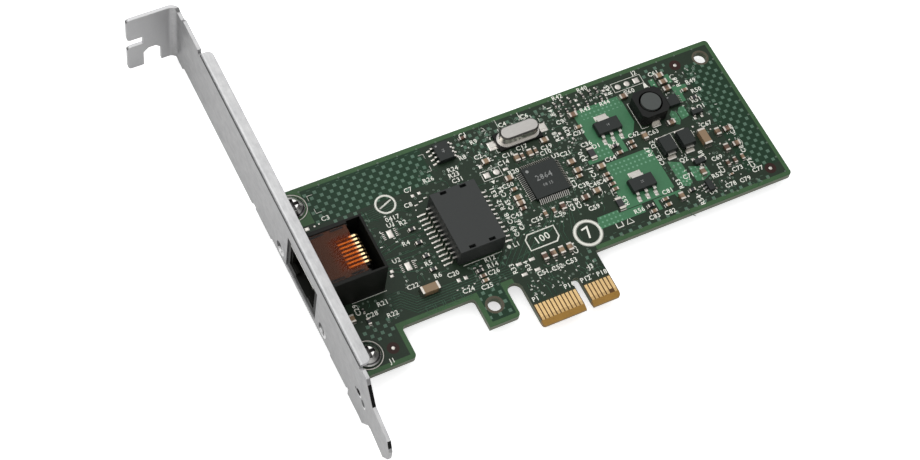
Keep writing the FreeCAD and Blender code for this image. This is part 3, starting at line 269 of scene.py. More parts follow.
def disc(x, y, radius):
    """1 inside a circle of the board, 0 outside it."""
    return below(away_from(x, y), radius)


grid = 1.27
half_square = 0.33


def squares(centre_x, centre_y):
    """Every other square of the grid that has one at the given centre, counted from far outside."""
    steps = [maths(tree, "MULTIPLY_ADD", place[axis], 1 / grid, 0.5 - centre / grid + 200)
             for axis, centre in enumerate((centre_x, centre_y))]
    count = maths(tree, "ADD", *[maths(tree, "FLOOR", step) for step in steps])
    even = below(maths(tree, "MODULO", count, 2.0), 0.5)
    return product(even, *[near(maths(tree, "FRACT", step), 0.5, half_square) for step in steps])


def blend(factor, one, other):
    """One colour where the factor is 0, the other where it is 1."""
    mixer = put(tree, "ShaderNodeMix", data_type="RGBA")
    for socket, feed in ((0, factor), (6, one), (7, other)):
        if isinstance(feed, bpy.types.NodeSocket):
            tree.links.new(feed, mixer.inputs[socket])
        else:
            mixer.inputs[socket].default_value = (*feed, 1.0)
    return mixer.outputs[2]


mask, tree, shader, spot = start_material("green_mask", 0.0, 0.17)
place = parts_of(spot)
copper = inside((-60.0, 61.5, 13.8, 44.8), (-48.9, 61.5, 44.0, 53.7), (-60.0, -43.3, 5.6, 20.0),
                (-22.6, -16.5, 5.6, 20.0), (-13.4, 8.6, -1.0, 13.8))
left_fill = product(squares(-32.92, 49.72),
                    inside((-48.6, -18.2, 44.2, 53.2), (-46.0, -37.4, 42.0, 44.5), (-9.5, 17.0, 49.3, 53.0),
                           (-6.0, -2.4, 45.0, 50.0)))
hook_fill = product(squares(-20.02, 11.76),
                    inside((-22.6, -16.6, 6.2, 13.6), (4.4, 7.3, 9.5, 13.6), (-51.0, -43.4, 11.5, 16.0),
                           (-13.8, -11.8, 17.0, 20.0)))
right_fill = product(squares(57.72, 35.76),
                     inside((55.4, 61.0, 17.6, 49.2), (52.0, 61.0, 32.6, 42.0), (53.4, 57.2, 41.8, 50.4),
                            (12.0, 57.0, 13.5, 15.1), (42.0, 49.0, 50.2, 53.0)))
fill_zone = inside((-49.0, -18.0, 44.0, 54.0), (52.5, 61.4, 17.0, 50.0), (-23.0, -16.2, 5.6, 14.0))
halo = any_of(disc(-46.2, 8.6, 1.45), disc(58.35, 16.05, 1.45), disc(51.4, 51.1, 1.45))
bare = any_of(disc(-20.15, 9.35, 2.25), disc(58.45, 50.7, 2.15))
green = blend(fill_zone, (0.0172, 0.0308, 0.0180), (0.0085, 0.0340, 0.0150))
green = blend(any_of(left_fill, hook_fill, right_fill), green, (0.092, 0.165, 0.118))
green = blend(copper, (0.046, 0.105, 0.044), green)
gaps = product(fade(place[1], 6.2, 4.2, 0.0, 0.9), inside((-12.2, 8.4, -1.0, 6.2)))
green = blend(gaps, green, (0.115, 0.052, 0.014))
green = blend(inside((-13.2, 9.0, -1.0, 1.42)), green, (0.340, 0.185, 0.040))
green = blend(halo, green, (0.030, 0.011, 0.008))
green = blend(bare, green, (0.090, 0.080, 0.055))
side = below(maths(tree, "ABSOLUTE", face_direction()[2]), 0.6)
laminate = blend(inside((-13.2, 9.0, -1.0, 1.5)), (0.150, 0.170, 0.118), (0.280, 0.165, 0.050))
add_grain(tree, shader, spot, blend(side, green, laminate), 0.35, 0.42, 0.34, 0.12, 0.10)
dress(mask, "circuit_board")


# ---- Copper areas under the mask ----
# Heat spreading areas round the regulators, the inductor and the diodes.  The mask
# lies thin and pale on the solid copper, which is stitched with rows of small vias.
pale, tree, shader, spot = start_material("mask_on_copper", 0.0, 0.26)
place = parts_of(spot)
stitch = 1.17
dot_radius_squared = 0.046
squared = []
for axis, start in ((0, 21.5), (1, 31.6)):
    step = maths(tree, "MULTIPLY_ADD", place[axis], 1 / stitch, 0.5 - start / stitch + 100)
    squared.append(maths(tree, "POWER", maths(tree, "SUBTRACT", maths(tree, "FRACT", step), 0.5), 2.0))
dots = below(maths(tree, "ADD", *squared), dot_radius_squared)
open_zone = inside((21.6, 33.6, 28.6, 32.2), (22.6, 33.2, 45.6, 48.0), (21.2, 24.4, 34.2, 37.0),
                   (36.2, 38.6, 19.6, 26.6), (40.0, 44.0, 20.2, 24.0), (10.0, 19.0, 17.4, 20.2),
                   (43.0, 47.4, 36.4, 39.8))
colour = blend(product(dots, open_zone), (0.052, 0.176, 0.084), (0.150, 0.330, 0.210))
add_grain(tree, shader, spot, colour, 0.9, 0.16, 0.38, 0.1, 0.06)


def pick(*pieces):
    """Select these pieces alone and make the first one active."""
    bpy.ops.object.select_all(action="DESELECT")
    for piece in pieces:
        piece.select_set(True)
    bpy.context.view_layer.objects.active = pieces[0]


def add_run(curve, points, closed, radius=1.0):
    """Straight lines through points of the board, given in millimetres."""
    spline = curve.splines.new("POLY")
    spline.points.add(len(points) - 1)
    for point, (x, y) in zip(spline.points, points):
        point.co = (x * mm, y * mm, 0.0, 1.0)
        point.radius = radius
    spline.use_cyclic_u = closed


def as_mesh(name, curve, shift):
    """The mesh of a curve, moved to its place."""
    piece = bpy.data.objects.new(name, curve)
    bpy.context.scene.collection.objects.link(piece)
    pick(piece)
    bpy.ops.object.convert(target="MESH")
    piece = bpy.context.object
    piece.data.transform(shift)
    return piece


def flat_plate(name, corners, thick):
    """A thin plate on the board, cut to one outline."""
    curve = bpy.data.curves.new(name, "CURVE")
    curve.dimensions = "2D"
    curve.fill_mode = "BOTH"
    curve.extrude = thick * mm / 2
    add_run(curve, corners, True)
    return as_mesh(name, curve, Matrix.Translation((0.0, 0.0, surface + thick / 2 * mm)))


def settle(piece, material):
    """Finish a new piece: whole mesh, material and what carries it."""
    pick(piece)
    bpy.ops.object.mode_set(mode="EDIT")
    bpy.ops.mesh.select_all(action="SELECT")
    bpy.ops.mesh.remove_doubles(threshold=1e-7)
    bpy.ops.mesh.normals_make_consistent(inside=False)
    bpy.ops.object.mode_set(mode="OBJECT")
    piece.data.materials.clear()
    piece.data.materials.append(material)
    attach(piece, "root")


def join(name, parts):
    """Several meshes made one piece."""
    pick(*parts)
    bpy.ops.object.join()
    whole = bpy.context.object
    whole.name = name
    return whole


areas = [
    [(20.8, 47.3), (22.0, 48.6), (33.4, 48.6), (33.9, 48.1), (33.9, 40.5), (32.4, 38.2), (31.0, 37.0),
     (28.6, 37.0), (28.6, 33.8), (27.3, 33.8), (27.3, 36.2), (24.8, 36.2), (24.8, 33.8), (17.9, 33.8),
     (17.9, 34.9), (20.8, 34.9)],
    [(21.2, 32.6), (33.5, 32.6), (33.9, 32.2), (33.9, 20.6), (31.6, 19.6), (20.2, 19.6), (20.2, 26.8),
     (21.0, 27.6)],
    [(11.6, 17.2), (12.6, 20.3), (18.1, 20.3), (18.1, 19.4), (24.2, 19.4), (24.2, 17.2)],
    [(27.4, 19.4), (34.8, 19.4), (34.8, 18.2), (33.2, 17.8), (33.0, 18.8), (28.4, 18.8), (28.4, 16.3),
     (27.4, 16.3)],
    [(35.8, 27.4), (38.8, 26.0), (38.8, 20.3), (37.6, 19.2), (35.8, 20.2)],
    [(39.8, 24.3), (44.0, 22.6), (44.0, 20.4), (41.6, 19.4), (39.8, 19.9)],
    [(43.0, 39.0), (44.0, 39.8), (44.8, 39.0), (44.8, 36.6), (44.0, 35.4), (43.0, 36.0)],
    [(45.1, 38.8), (46.2, 40.0), (47.4, 39.9), (47.4, 36.9), (45.1, 36.5)],
    [(42.8, 49.7), (44.2, 49.7), (44.2, 46.6), (42.8, 47.4)],
    [(47.1, 49.6), (48.4, 49.6), (48.4, 47.0), (47.1, 47.0)],
    [(47.2, 45.9), (51.0, 45.4), (51.0, 44.2), (48.9, 42.9), (48.9, 41.0), (47.4, 41.0)],
]
copper_rise = 0.02
plates = [flat_plate("copper_area", corners, copper_rise) for corners in areas]
settle(join("copper_areas", plates), pale)


# ---- Traces and vias under the mask ----
# Copper lines show through the mask as slightly raised, paler green runs.  Vias are
# small plated holes through the board, most of them closed by the mask.
shuffle = random.Random(41)


def drawn_lines(name, runs):
    """Low ridges along runs of points: each run is (width, closed, points) in millimetres."""
    curve = bpy.data.curves.new(name, "CURVE")
    curve.dimensions = "3D"
    curve.bevel_depth = mm
    curve.bevel_resolution = 0
    curve.use_fill_caps = True
    for width, closed, points in runs:
        add_run(curve, points, closed, width / 2)
    flattened = Matrix.Diagonal((1.0, 1.0, 0.09, 1.0))
    return as_mesh(name, curve, Matrix.Translation((0.0, 0.0, surface)) @ flattened)


def solids_of(node):
    """Lowest and highest corners, in millimetres, of each separate solid of a node."""
    shape = bmesh.new()
    shape.from_mesh(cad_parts[node].data)
    bmesh.ops.remove_doubles(shape, verts=shape.verts, dist=1e-7)
    found = []
    waiting = set(shape.verts)
    while waiting:
        heap = [waiting.pop()]
        spots = []
        while heap:
            vertex = heap.pop()
            spots.append(vertex.co.copy())
            for edge in vertex.link_edges:
                other = edge.other_vert(vertex)
                if other in waiting:
                    waiting.remove(other)
                    heap.append(other)
        found.append([Vector([end(axis) for axis in zip(*spots)]) / mm for end in (min, max)])
    shape.free()
    found.sort(key=lambda corners: [round(value, 3) for value in corners[0]])
    return found


covered = []
for node in ("jack_housing", "transformer_body", "transformer_leads", "controller_body", "controller_leads",
             "memory_body", "memory_leads", "switch_body", "reset_body", "crystal_base",
             "regulator_upper_body", "regulator_upper_leads", "regulator_upper_tab",
             "regulator_lower_body", "regulator_lower_leads", "regulator_lower_tab", "inductor_sleeve",
             "diode_bodies", "diode_leads", "transistor_body", "second_transistor_body", "capacitors",
             "capacitor_ends", "resistors", "resistor_ends", "line_capacitors", "line_capacitor_ends",
             "bracket_screws"):
    covered += solids_of(node)


def is_free(x, y, room=0.35):
    """Whether a point of the board has no part within the room given."""
    return not any(low.x - room < x < high.x + room and low.y - room < y < high.y + room
                   for low, high in covered)


runs = []
lead_rows = [29.95 + (n - 5.5) * grid for n in range(12)]
for n, row in enumerate((1, 2, 4, 5, 7, 8, 10, 11)):
    start = 26.4 + n
    end = lead_rows[row]
    runs.append((0.22, False, [(-41.4, start), (-39.6 + 0.3 * abs(n - 4), start), (-36.4, (start + end) / 2),
                               (-33.0 + 0.2 * n, end), (-25.9, end)]))
for n in range(7):
    level = 21.0 - 0.62 * n
    runs.append((0.2, False, [(-42.0, level), (-38.5 - 0.25 * n, level), (-35.7 - 0.25 * n, level - 2.8),
                              (-15.5 + 0.9 * n, level - 2.8), (-8.8 + 0.9 * n, level + 3.9),
                              (-4.5 + 0.7 * n, level + 4.9)]))
for n, row in enumerate(lead_rows):
    level = 30.5 + (n - 0.5) * 0.55
    runs.append((0.2, False, [(-9.0, row), (-7.6, row), (-5.2 + 0.15 * n, level + 0.4 * (row - level)),
                              (-1.4, level), (0.3, level)]))
for n in range(16):
    start = 2.1 + 0.5 * n
    end = (-11.0 + 1.06 * n) if n < 10 else (1.5 + 1.0 * (n - 9))
    bend = 27.4 - 0.18 * abs(n - 8)
    if n % 3:
        runs.append((0.16, False, [(start, 28.7), (start, bend),
                                   ((start + end) / 2, bend - abs(start - end) * 0.5 - 1.0),
                                   (end, 21.0 - abs(n - 9) * 0.4), (end, 16.5 - 0.4 * (n % 5))]))
        runs.append((0.2, False, [(end - 0.8, 10.6 + 0.6 * (n % 4)), (end - 0.8, 9.4 + 0.5 * (n % 3)),
                                  (end, 8.4 + 0.5 * (n % 3)), (end, 5.6)]))
    top = 40.4 + 0.2 * (n % 4)
    runs.append((0.15, False, [(start, 39.7), (start, top), (start + 0.6 * (n % 3 - 1), top + 0.8)]))
    reach = 12.0 + 0.25 * (n % 5)
    runs.append((0.15, False, [(11.4, start + 28.3), (reach, start + 28.3),
                               (reach + 0.8, start + 28.3 + 0.4 * (n % 3 - 1))]))
for n in range(5):
    low = 13.3 + 0.05 * n
    left = -35.0 + 2.35 * n
    runs.append((0.24, True, [(left, low), (left + 1.8, low), (left + 1.8, low + 1.7), (left, low + 1.7)]))
for n in range(6):
    runs.append((0.18, False, [(-38.0 - 0.5 * n, 42.6 - 0.55 * n), (-30.0, 42.6 - 0.55 * n + 0.6),
                               (-26.8, 41.0 - 0.5 * n)]))
zones = [(-8.9, 20.0, 22.5, 53.0, 420), (-40.5, -24.5, 20.5, 43.0, 80), (-23.0, -9.0, 13.5, 22.0, 34),
         (33.8, 55.6, 13.6, 50.0, 190), (-22.0, -7.5, 41.0, 49.5, 40), (15.0, 33.0, 48.8, 53.0, 44),
         (-10.5, 7.0, 7.0, 14.0, 26), (-50.5, -40.0, 14.0, 21.5, 20)]
via_spots = []
for left, end, low, high, count in zones:
    for n in range(count):
        x, y = shuffle.uniform(left, end), shuffle.uniform(low, high)
        if is_free(x, y) and all(abs(x - a) + abs(y - b) > 0.9 for a, b, size in via_spots):
            via_spots.append((x, y, shuffle.choice((0.42, 0.5, 0.5, 0.62))))
            if shuffle.random() < 0.55:
                reach = shuffle.uniform(0.8, 2.6) * shuffle.choice((-1, 1))
                rise = shuffle.uniform(0.4, 1.1) * shuffle.choice((-1, 1))
                end_x = x + reach + math.copysign(rise, reach)
                points = [(x, y), (x + reach, y), (end_x, y + rise)]
                if shuffle.random() < 0.5:
                    points = [(x + (b - y) * 0.9, y + (a - x) * 0.9) for a, b in points]
                if all(is_free(a, b, 0.1) for a, b in points):
                    runs.append((0.2, False, points))
for n in range(22):
    via_spots.append((-49.0 + 4 * grid * n, 53.75, 0.45))
for n in range(9):
    via_spots.append((61.25, 13.9 + 4.4 * n, 0.45))
    via_spots.append((16.0 + 5.07 * n, 13.85, 0.5))


def finish(name, colour, metallic, roughness, size=0.2, depth=0.12, spread=0.15, bump=0.15, bevel=0.0,
           specular=0.5):
    """A material of one colour with its grain."""
    material, tree, shader, spot = start_material(name, metallic, specular)
    add_grain(tree, shader, spot, colour, size, depth, roughness, spread, bump, bevel)
    return material


under_mask = finish("mask_over_trace", (0.046, 0.104, 0.064), 0.0, 0.34, 0.5, 0.35, 0.1, 0.05, specular=0.24)
settle(drawn_lines("board_traces", runs), under_mask)


def open_top(piece):
    """Enter edit mode with the top face of a shape alone selected."""
    bpy.ops.object.mode_set(mode="EDIT")
    bpy.ops.mesh.select_mode(type="FACE")
    bpy.ops.mesh.select_all(action="DESELECT")
    shape = bmesh.from_edit_mesh(piece.data)
    for face in shape.faces:
        face.select_set(face.calc_center_median().z > 0.4)
    bmesh.update_edit_mesh(piece.data)


def copies(name, shape, places):
    """Copies of one shape, each (x, y, length, width, height, turn) on the board in millimetres."""
    made = []
    for x, y, length, width, height, turned in places:
        copy = shape.copy()
        copy.data = shape.data.copy()
        bpy.context.scene.collection.objects.link(copy)
        copy.data.transform(Matrix.Translation((x * mm, y * mm, surface))
                            @ Matrix.Rotation(math.radians(turned), 4, "Z")
                            @ Matrix.Diagonal((length * mm, width * mm, height * mm, 1.0)))
        made.append(copy)
    return join(name, made)


bpy.ops.object.select_all(action="DESELECT")
bpy.ops.mesh.primitive_cylinder_add(vertices=8, radius=0.5, depth=1.0, location=(0.0, 0.0, 0.0))
via = bpy.context.object
open_top(via)
bpy.ops.mesh.inset(thickness=0.2, depth=0.0)
bpy.ops.mesh.extrude_region_move(TRANSFORM_OT_translate={"value": (0.0, 0.0, -0.5)})
bpy.ops.object.mode_set(mode="OBJECT")
cover_rise, pad_rise = 0.045, 0.06
tented = copies("board_vias", via, [(x, y, size, size, cover_rise, 0) for x, y, size in via_spots])
bright_spots = []
for left, end, low, high, count in ((-8.9, 20.0, 22.5, 53.0, 210), (33.8, 55.6, 14.5, 50.0, 90),
                                    (-10.8, -0.2, 6.8, 12.6, 34), (1.2, 7.0, 7.4, 12.6, 10),
                                    (-38.0, -24.5, 22.0, 43.0, 18), (15.0, 33.0, 48.8, 53.0, 34)):
    for n in range(count):
        x, y = shuffle.uniform(left, end), shuffle.uniform(low, high)
        if is_free(x, y, 0.3):
            size = shuffle.choice(((0.32, 0.32), (0.34, 0.34), (0.62, 0.26), (0.26, 0.6)))
            bright_spots.append((x, y, *size, pad_rise, 0))
bare_tin = finish("bare_tin", (0.80, 0.80, 0.74), 1.0, 0.4, 0.3, 0.15, 0.2, 0.1)
settle(copies("open_vias", via, bright_spots), bare_tin)
via_cover = finish("via_cover", (0.175, 0.235, 0.185), 0.0, 0.38, 0.6, 0.6, 0.1, 0.05, specular=0.3)
settle(tented, via_cover)


# ---- Bare pads and solder ----
# Tinned pads, left empty or swollen with solder under a lead, a small fillet of solder
# at the end of each chip part, and a tinned ring round the head of each bracket screw.
solder = finish("bright_solder", (0.58, 0.55, 0.51), 1.0, 0.32, 0.35, 0.2, 0.2, 0.25)


def swell(piece, rim):
    """Raise the top of a pad in two steps, as melted solder rises."""
    open_top(piece)
    for inset, rise in ((rim, 0.8), (0.16, 0.35)):
        bpy.ops.mesh.inset(thickness=inset, depth=0.0)
        bpy.ops.transform.translate(value=(0.0, 0.0, rise))
    bpy.ops.object.mode_set(mode="OBJECT")


bpy.ops.object.select_all(action="DESELECT")
bpy.ops.mesh.primitive_cube_add(size=1.0, location=(0.0, 0.0, 0.0))
pillow = bpy.context.object
swell(pillow, 0.12)

bpy.ops.object.select_all(action="DESELECT")
bpy.ops.mesh.primitive_cylinder_add(vertices=20, radius=0.5, depth=1.0, location=(0.0, 0.0, 0.0))
button = bpy.context.object
swell(button, 0.1)

bpy.ops.object.select_all(action="DESELECT")
bpy.ops.mesh.primitive_cube_add(size=1.0, location=(0.5, 0.0, 0.5))
fillet = bpy.context.object
bpy.ops.object.transform_apply(location=True, rotation=False, scale=False)
bpy.ops.object.mode_set(mode="EDIT")
for cut in (0.2, 0.55):
    bpy.ops.mesh.select_all(action="SELECT")
    bpy.ops.mesh.bisect(plane_co=(cut, 0.0, 0.0), plane_no=(1.0, 0.0, 0.0))
bpy.ops.mesh.select_mode(type="VERT")
for reach, height in ((0.2, 0.55), (0.55, 0.24), (1.0, 0.07)):
    bpy.ops.mesh.select_all(action="DESELECT")
    shape = bmesh.from_edit_mesh(fillet.data)
    for vertex in shape.verts:
        vertex.select_set(abs(vertex.co.x - reach) < 0.01 and vertex.co.z > 0.9)
    shape.select_flush_mode()
    bmesh.update_edit_mesh(fillet.data)
    bpy.ops.transform.translate(value=(0.0, 0.0, height - 1.0))
bpy.ops.object.mode_set(mode="OBJECT")

empty_pads = [
    (-10.2, 16.5, 1.4, 0.8), (-10.2, 13.6, 1.4, 0.8), (-6.8, 16.5, 1.4, 0.8), (-6.8, 13.6, 1.4, 0.8),
    (-24.9, 18.2, 0.9, 1.0), (-23.1, 18.2, 0.9, 1.0), (-26.3, 16.0, 0.5, 0.3), (-25.0, 16.0, 0.5, 0.4),
    (-23.4, 16.0, 0.5, 0.4), (-21.9, 16.0, 0.5, 0.3), (-24.9, 42.5, 0.8, 0.8), (-23.2, 42.6, 0.8, 0.8),
    (-25.2, 39.9, 0.9, 0.35), (-23.8, 40.4, 0.9, 0.35), (-22.4, 40.9, 0.9, 0.35), (23.6, 51.4, 0.7, 0.7),
    (23.6, 50.0, 0.7, 0.7), (31.2, 51.3, 0.7, 0.7), (31.2, 50.0, 0.7, 0.7), (15.4, 44.5, 0.7, 0.7),
    (15.4, 43.1, 0.7, 0.7), (-6.6, 43.5, 0.8, 1.0), (-51.3, 43.9, 1.1, 0.9), (-49.4, 43.9, 0.5, 0.5),
    (-48.2, 44.1, 0.4, 0.4), (-38.1, 26.3, 0.9, 0.8), (-38.6, 25.2, 0.9, 0.7), (-34.2, 35.3, 1.3, 2.1),
    (-34.0, 26.0, 1.3, 2.1), (-20.1, 19.6, 0.7, 0.4), (-18.6, 19.6, 0.7, 0.4), (-1.3, 40.6, 1.3, 0.7),
    (35.8, 17.0, 0.5, 0.5), (38.0, 16.6, 0.4, 0.4), (45.5, 17.6, 0.4, 0.4), (42.9, 37.6, 0.6, 0.5),
    (46.6, 33.7, 0.5, 0.5), (48.5, 33.9, 0.4, 0.4), (50.3, 31.4, 0.4, 0.4), (53.0, 31.3, 0.4, 0.4),
    (50.4, 26.9, 0.4, 0.4), (53.1, 27.0, 0.4, 0.4), (-2.9, 24.7, 0.5, 0.4), (12.2, 24.2, 0.5, 0.5),
]
for n in range(5):
    for x, y in ((-34.2, 35.3), (-34.0, 26.0)):
        for side in (-1.55, 1.55):
            empty_pads.append((x + side, y + (n - 2) * 0.47, 0.7, 0.22))
for x in (18.0, 20.0, 22.0, 25.6, 27.6, 29.5):
    empty_pads += [(x, 52.9, 0.45, 0.45), (x, 48.7, 0.45, 0.45)]
for n in range(4):
    empty_pads += [(-3.8 + 2.18 * n, 13.9, 0.5, 0.35), (17.0 + 0.75 * (n % 2), 41.0 + 1.1 * n, 0.5, 0.4)]
lead_pad_rise, pin_pad_rise = 0.05, 0.08
flat_pads = [(*pad, pad_rise, 0) for pad in empty_pads]
flat_pads += [(-6.25, 40.75, 1.5, 1.5, pin_pad_rise, 0), (40.1, 50.9, 1.55, 1.5, pin_pad_rise, 0)]
round_pads = [(x, y, size, size, rise, 0) for x, y, size, rise in (
    (-3.7, 40.75, 1.6, pin_pad_rise), (35.0, 50.9, 1.5, pin_pad_rise), (37.5, 50.9, 1.5, pin_pad_rise),
    (-46.2, 8.6, 0.9, pad_rise), (58.35, 16.05, 0.9, pad_rise), (51.4, 51.1, 0.9, pad_rise))]
feet = []
for kind in ("capacitor", "resistor", "line_capacitor"):
    middles = [(low + high) / 2 for low, high in solids_of(kind + "s")]
    for low, high in solids_of(kind + "_ends"):
        centre = (low + high) / 2
        away = centre - min(middles, key=lambda middle: (middle - centre).length)
        axis = 0 if abs(away.x) > abs(away.y) else 1
        side = 1 if away[axis] > 0 else -1
        wide = (high - low)[1 - axis]
        tall = min(0.62 * (high.z - low.z), 0.8)
        centre[axis] = (high if side > 0 else low)[axis]
        feet.append((centre.x, centre.y, 0.14 + 0.08 * wide, wide * 0.96, tall, 90 * (axis + 1 - side)))
for part, end, body, length, more, wider in (
        ("transformer", "leads", "body", 0.5, 0.7, 0.0), ("memory", "leads", "body", 0.5, 0.4, 0.05),
        ("controller", "leads", "body", 0.25, 0.2, 0.0), ("switch", "leads", "body", 0.5, 0.2, 0.0),
        ("reset", "leads", "body", 0.4, 0.2, 0.05), ("transistor", "leads", "body", 0.6, 0.4, 0.25),
        ("regulator_upper", "leads", "body", 0.9, 0.6, 0.15),
        ("regulator_upper", "tab", "body", 0.9, 0.5, 0.2),
        ("regulator_lower", "leads", "body", 0.9, 0.6, 0.15),
        ("regulator_lower", "tab", "body", 0.9, 0.5, 0.2),
        ("second_transistor", "leads", "body", 0.6, 0.4, 0.25), ("crystal", "leads", "base", 1.8, 0.3, 1.4),
        ("inductor", "clips", "sleeve", 0.5, 0.4, 0.1)):
    body_low, body_high = [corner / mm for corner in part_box(part + "_" + body)]
    middle, half = (body_low + body_high) / 2, (body_high - body_low) / 2
    for low, high in solids_of(part + "_" + end):
        centre, size = (low + high) / 2, high - low
        away = centre - middle
        axis = 0 if abs(away.x) / half.x > abs(away.y) / half.y else 1
        shift = (more - length) / 2
        centre[axis] = high[axis] + shift if away[axis] > 0 else low[axis] - shift
        size[axis], size[1 - axis] = length + more, size[1 - axis] + wider
        flat_pads.append((centre.x, centre.y, size.x, size.y, lead_pad_rise, 0))
diode_low, diode_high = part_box("diode_bodies")
for low, high in solids_of("diode_leads"):
    tip = high.y if high.y > (diode_low.y + diode_high.y) / 2 / mm else low.y
    flat_pads.append(((low.x + high.x) / 2, tip, high.x - low.x + 0.2, 1.0, pad_rise, 0))


def arc(x, y, radius, start=0, end=348):
    """Points along a part of a circle, every twelve degrees or so."""
    steps = max(6, int(abs(end - start) / 12))
    angles = [math.radians(start + (end - start) * n / steps) for n in range(steps + 1)]
    return [(x + radius * math.cos(angle), y + radius * math.sin(angle)) for angle in angles]


rings = [(0.3, True, arc((low.x + high.x) / 2, (low.y + high.y) / 2, (high.x - low.x) / 2 + 0.5))
         for low, high in solids_of("bracket_screws")]
settle(drawn_lines("screw_pads", rings), solder)
settle(copies("tinned_pads", pillow, flat_pads), solder)
settle(copies("round_pads", button, round_pads), solder)
fillets = copies("solder_fillets", fillet, feet)
bpy.ops.object.shade_smooth_by_angle(angle=math.radians(50.0))
settle(fillets, solder)
for used in (pillow, button, fillet, via):
    bpy.data.objects.remove(used)


# ---- Printed legend ----
# Off-white ink screened over the mask: outlines of the parts, plain position numbers
# and a few plain signs.
open_lines = [
    (0.2, (35.3, 45.6), (34.7, 45.6), (34.7, 37.9), (36.5, 37.9)),
    (0.18, (44.5, 34.2), (36.2, 34.2), (35.4, 33.0), (35.4, 28.3), (36.0, 28.3)),
    (0.18, (40.4, 34.2), (40.4, 28.1)), (0.18, (45.6, 33.0), (45.6, 31.0)),
    (0.2, (-0.9, 46.6), (-0.9, 45.3), (11.2, 45.3)), (0.18, (-0.9, 48.9), (-0.9, 50.0), (-0.2, 50.0)),
    (0.16, (8.4, 52.0), (8.4, 53.8)), (0.16, (2.4, 51.2), (2.4, 54.0)), (0.16, (12.5, 50.4), (12.5, 49.2)),
    (0.18, (-50.0, 22.3), (-41.2, 22.3)), (0.18, (-22.3, 21.1), (-12.3, 21.1)),
    (0.16, (-46.4, 51.9), (-47.8, 51.9), (-47.8, 50.6)),
    (0.16, (-47.6, 48.2), (-47.6, 46.9), (-46.2, 46.9)),
    (0.16, (-19.0, 51.9), (-17.7, 51.9), (-17.7, 50.6)),
    (0.16, (-19.0, 47.0), (-17.7, 47.0), (-17.7, 48.4)),
    (0.18, (-20.4, 38.6), (-20.4, 39.2), (-19.6, 39.2)), (0.16, (-37.0, 21.2), (-36.2, 21.2)),
    (0.16, (18.5, 22.9), (20.0, 22.9)), (0.16, (19.2, 25.8), (19.2, 24.0)),
    (0.16, (44.2, 23.8), (43.8, 23.8), (43.8, 20.2)), (0.16, (40.0, 17.0), (39.4, 17.0)),
    (0.14, *arc(16.1, 26.4, 1.15, -70, 80)), (0.14, *arc(19.0, 47.2, 0.9, 110, 250)),
    (0.14, *arc(54.2, 29.8, 1.5, -60, 60)), (0.14, *arc(54.3, 25.3, 1.4, -60, 60)),
    (0.14, *arc(-2.2, 52.2, 1.2, -60, 60)), (0.14, *arc(34.2, 47.6, 1.2, 120, 240)),
    (0.16, *arc(49.1, 48.3, 0.7, 30, 330)), (0.16, *arc(9.2, 52.1, 0.75, 40, 320)),
    (0.5, (-33.5, 42.3), (-30.1, 43.6)),
]
closed_lines = [
    (0.62, *arc(-31.8, 42.9, 2.35)),
    (0.46, (-5.9, 18.5), (1.0, 18.5), (2.0, 19.6), (2.0, 22.6), (-4.9, 22.6), (-5.9, 21.5)),
    (0.95, *arc(8.7, 17.5, 3.2)), (0.42, (15.9, 15.9), (17.5, 15.9), (17.5, 17.9), (15.9, 17.9)),
    (0.42, (18.5, 15.9), (20.3, 15.9), (19.4, 17.7)),
]
for left, right, low, high in ((-7.5, -2.6, 39.4, 42.0), (33.6, 41.7, 49.6, 52.2)):
    closed_lines.append((0.22, (left, low), (right, low), (right, high), (left, high)))
for n in range(10):
    left, low = 16.4 + 0.7 * (n % 3), 33.0 + 1.1 * n
    open_lines.append((0.14, (left, low), (left + 0.4, low)))
legend_runs = [(width, False, points) for width, *points in open_lines]
legend_runs += [(width, True, points) for width, *points in closed_lines]
ink_rise = 0.03
inked = [drawn_lines("legend_lines", legend_runs),
         flat_plate("legend_wedge", [(40.9, 48.1), (42.1, 48.1), (41.75, 49.4), (41.3, 49.4)], ink_rise),
         flat_plate("legend_arrow", [(-6.2, 38.9), (-5.1, 38.9), (-5.65, 38.0)], ink_rise),
         flat_plate("legend_spot", arc(-10.2, 21.5, 0.5, 0, 330), ink_rise)]

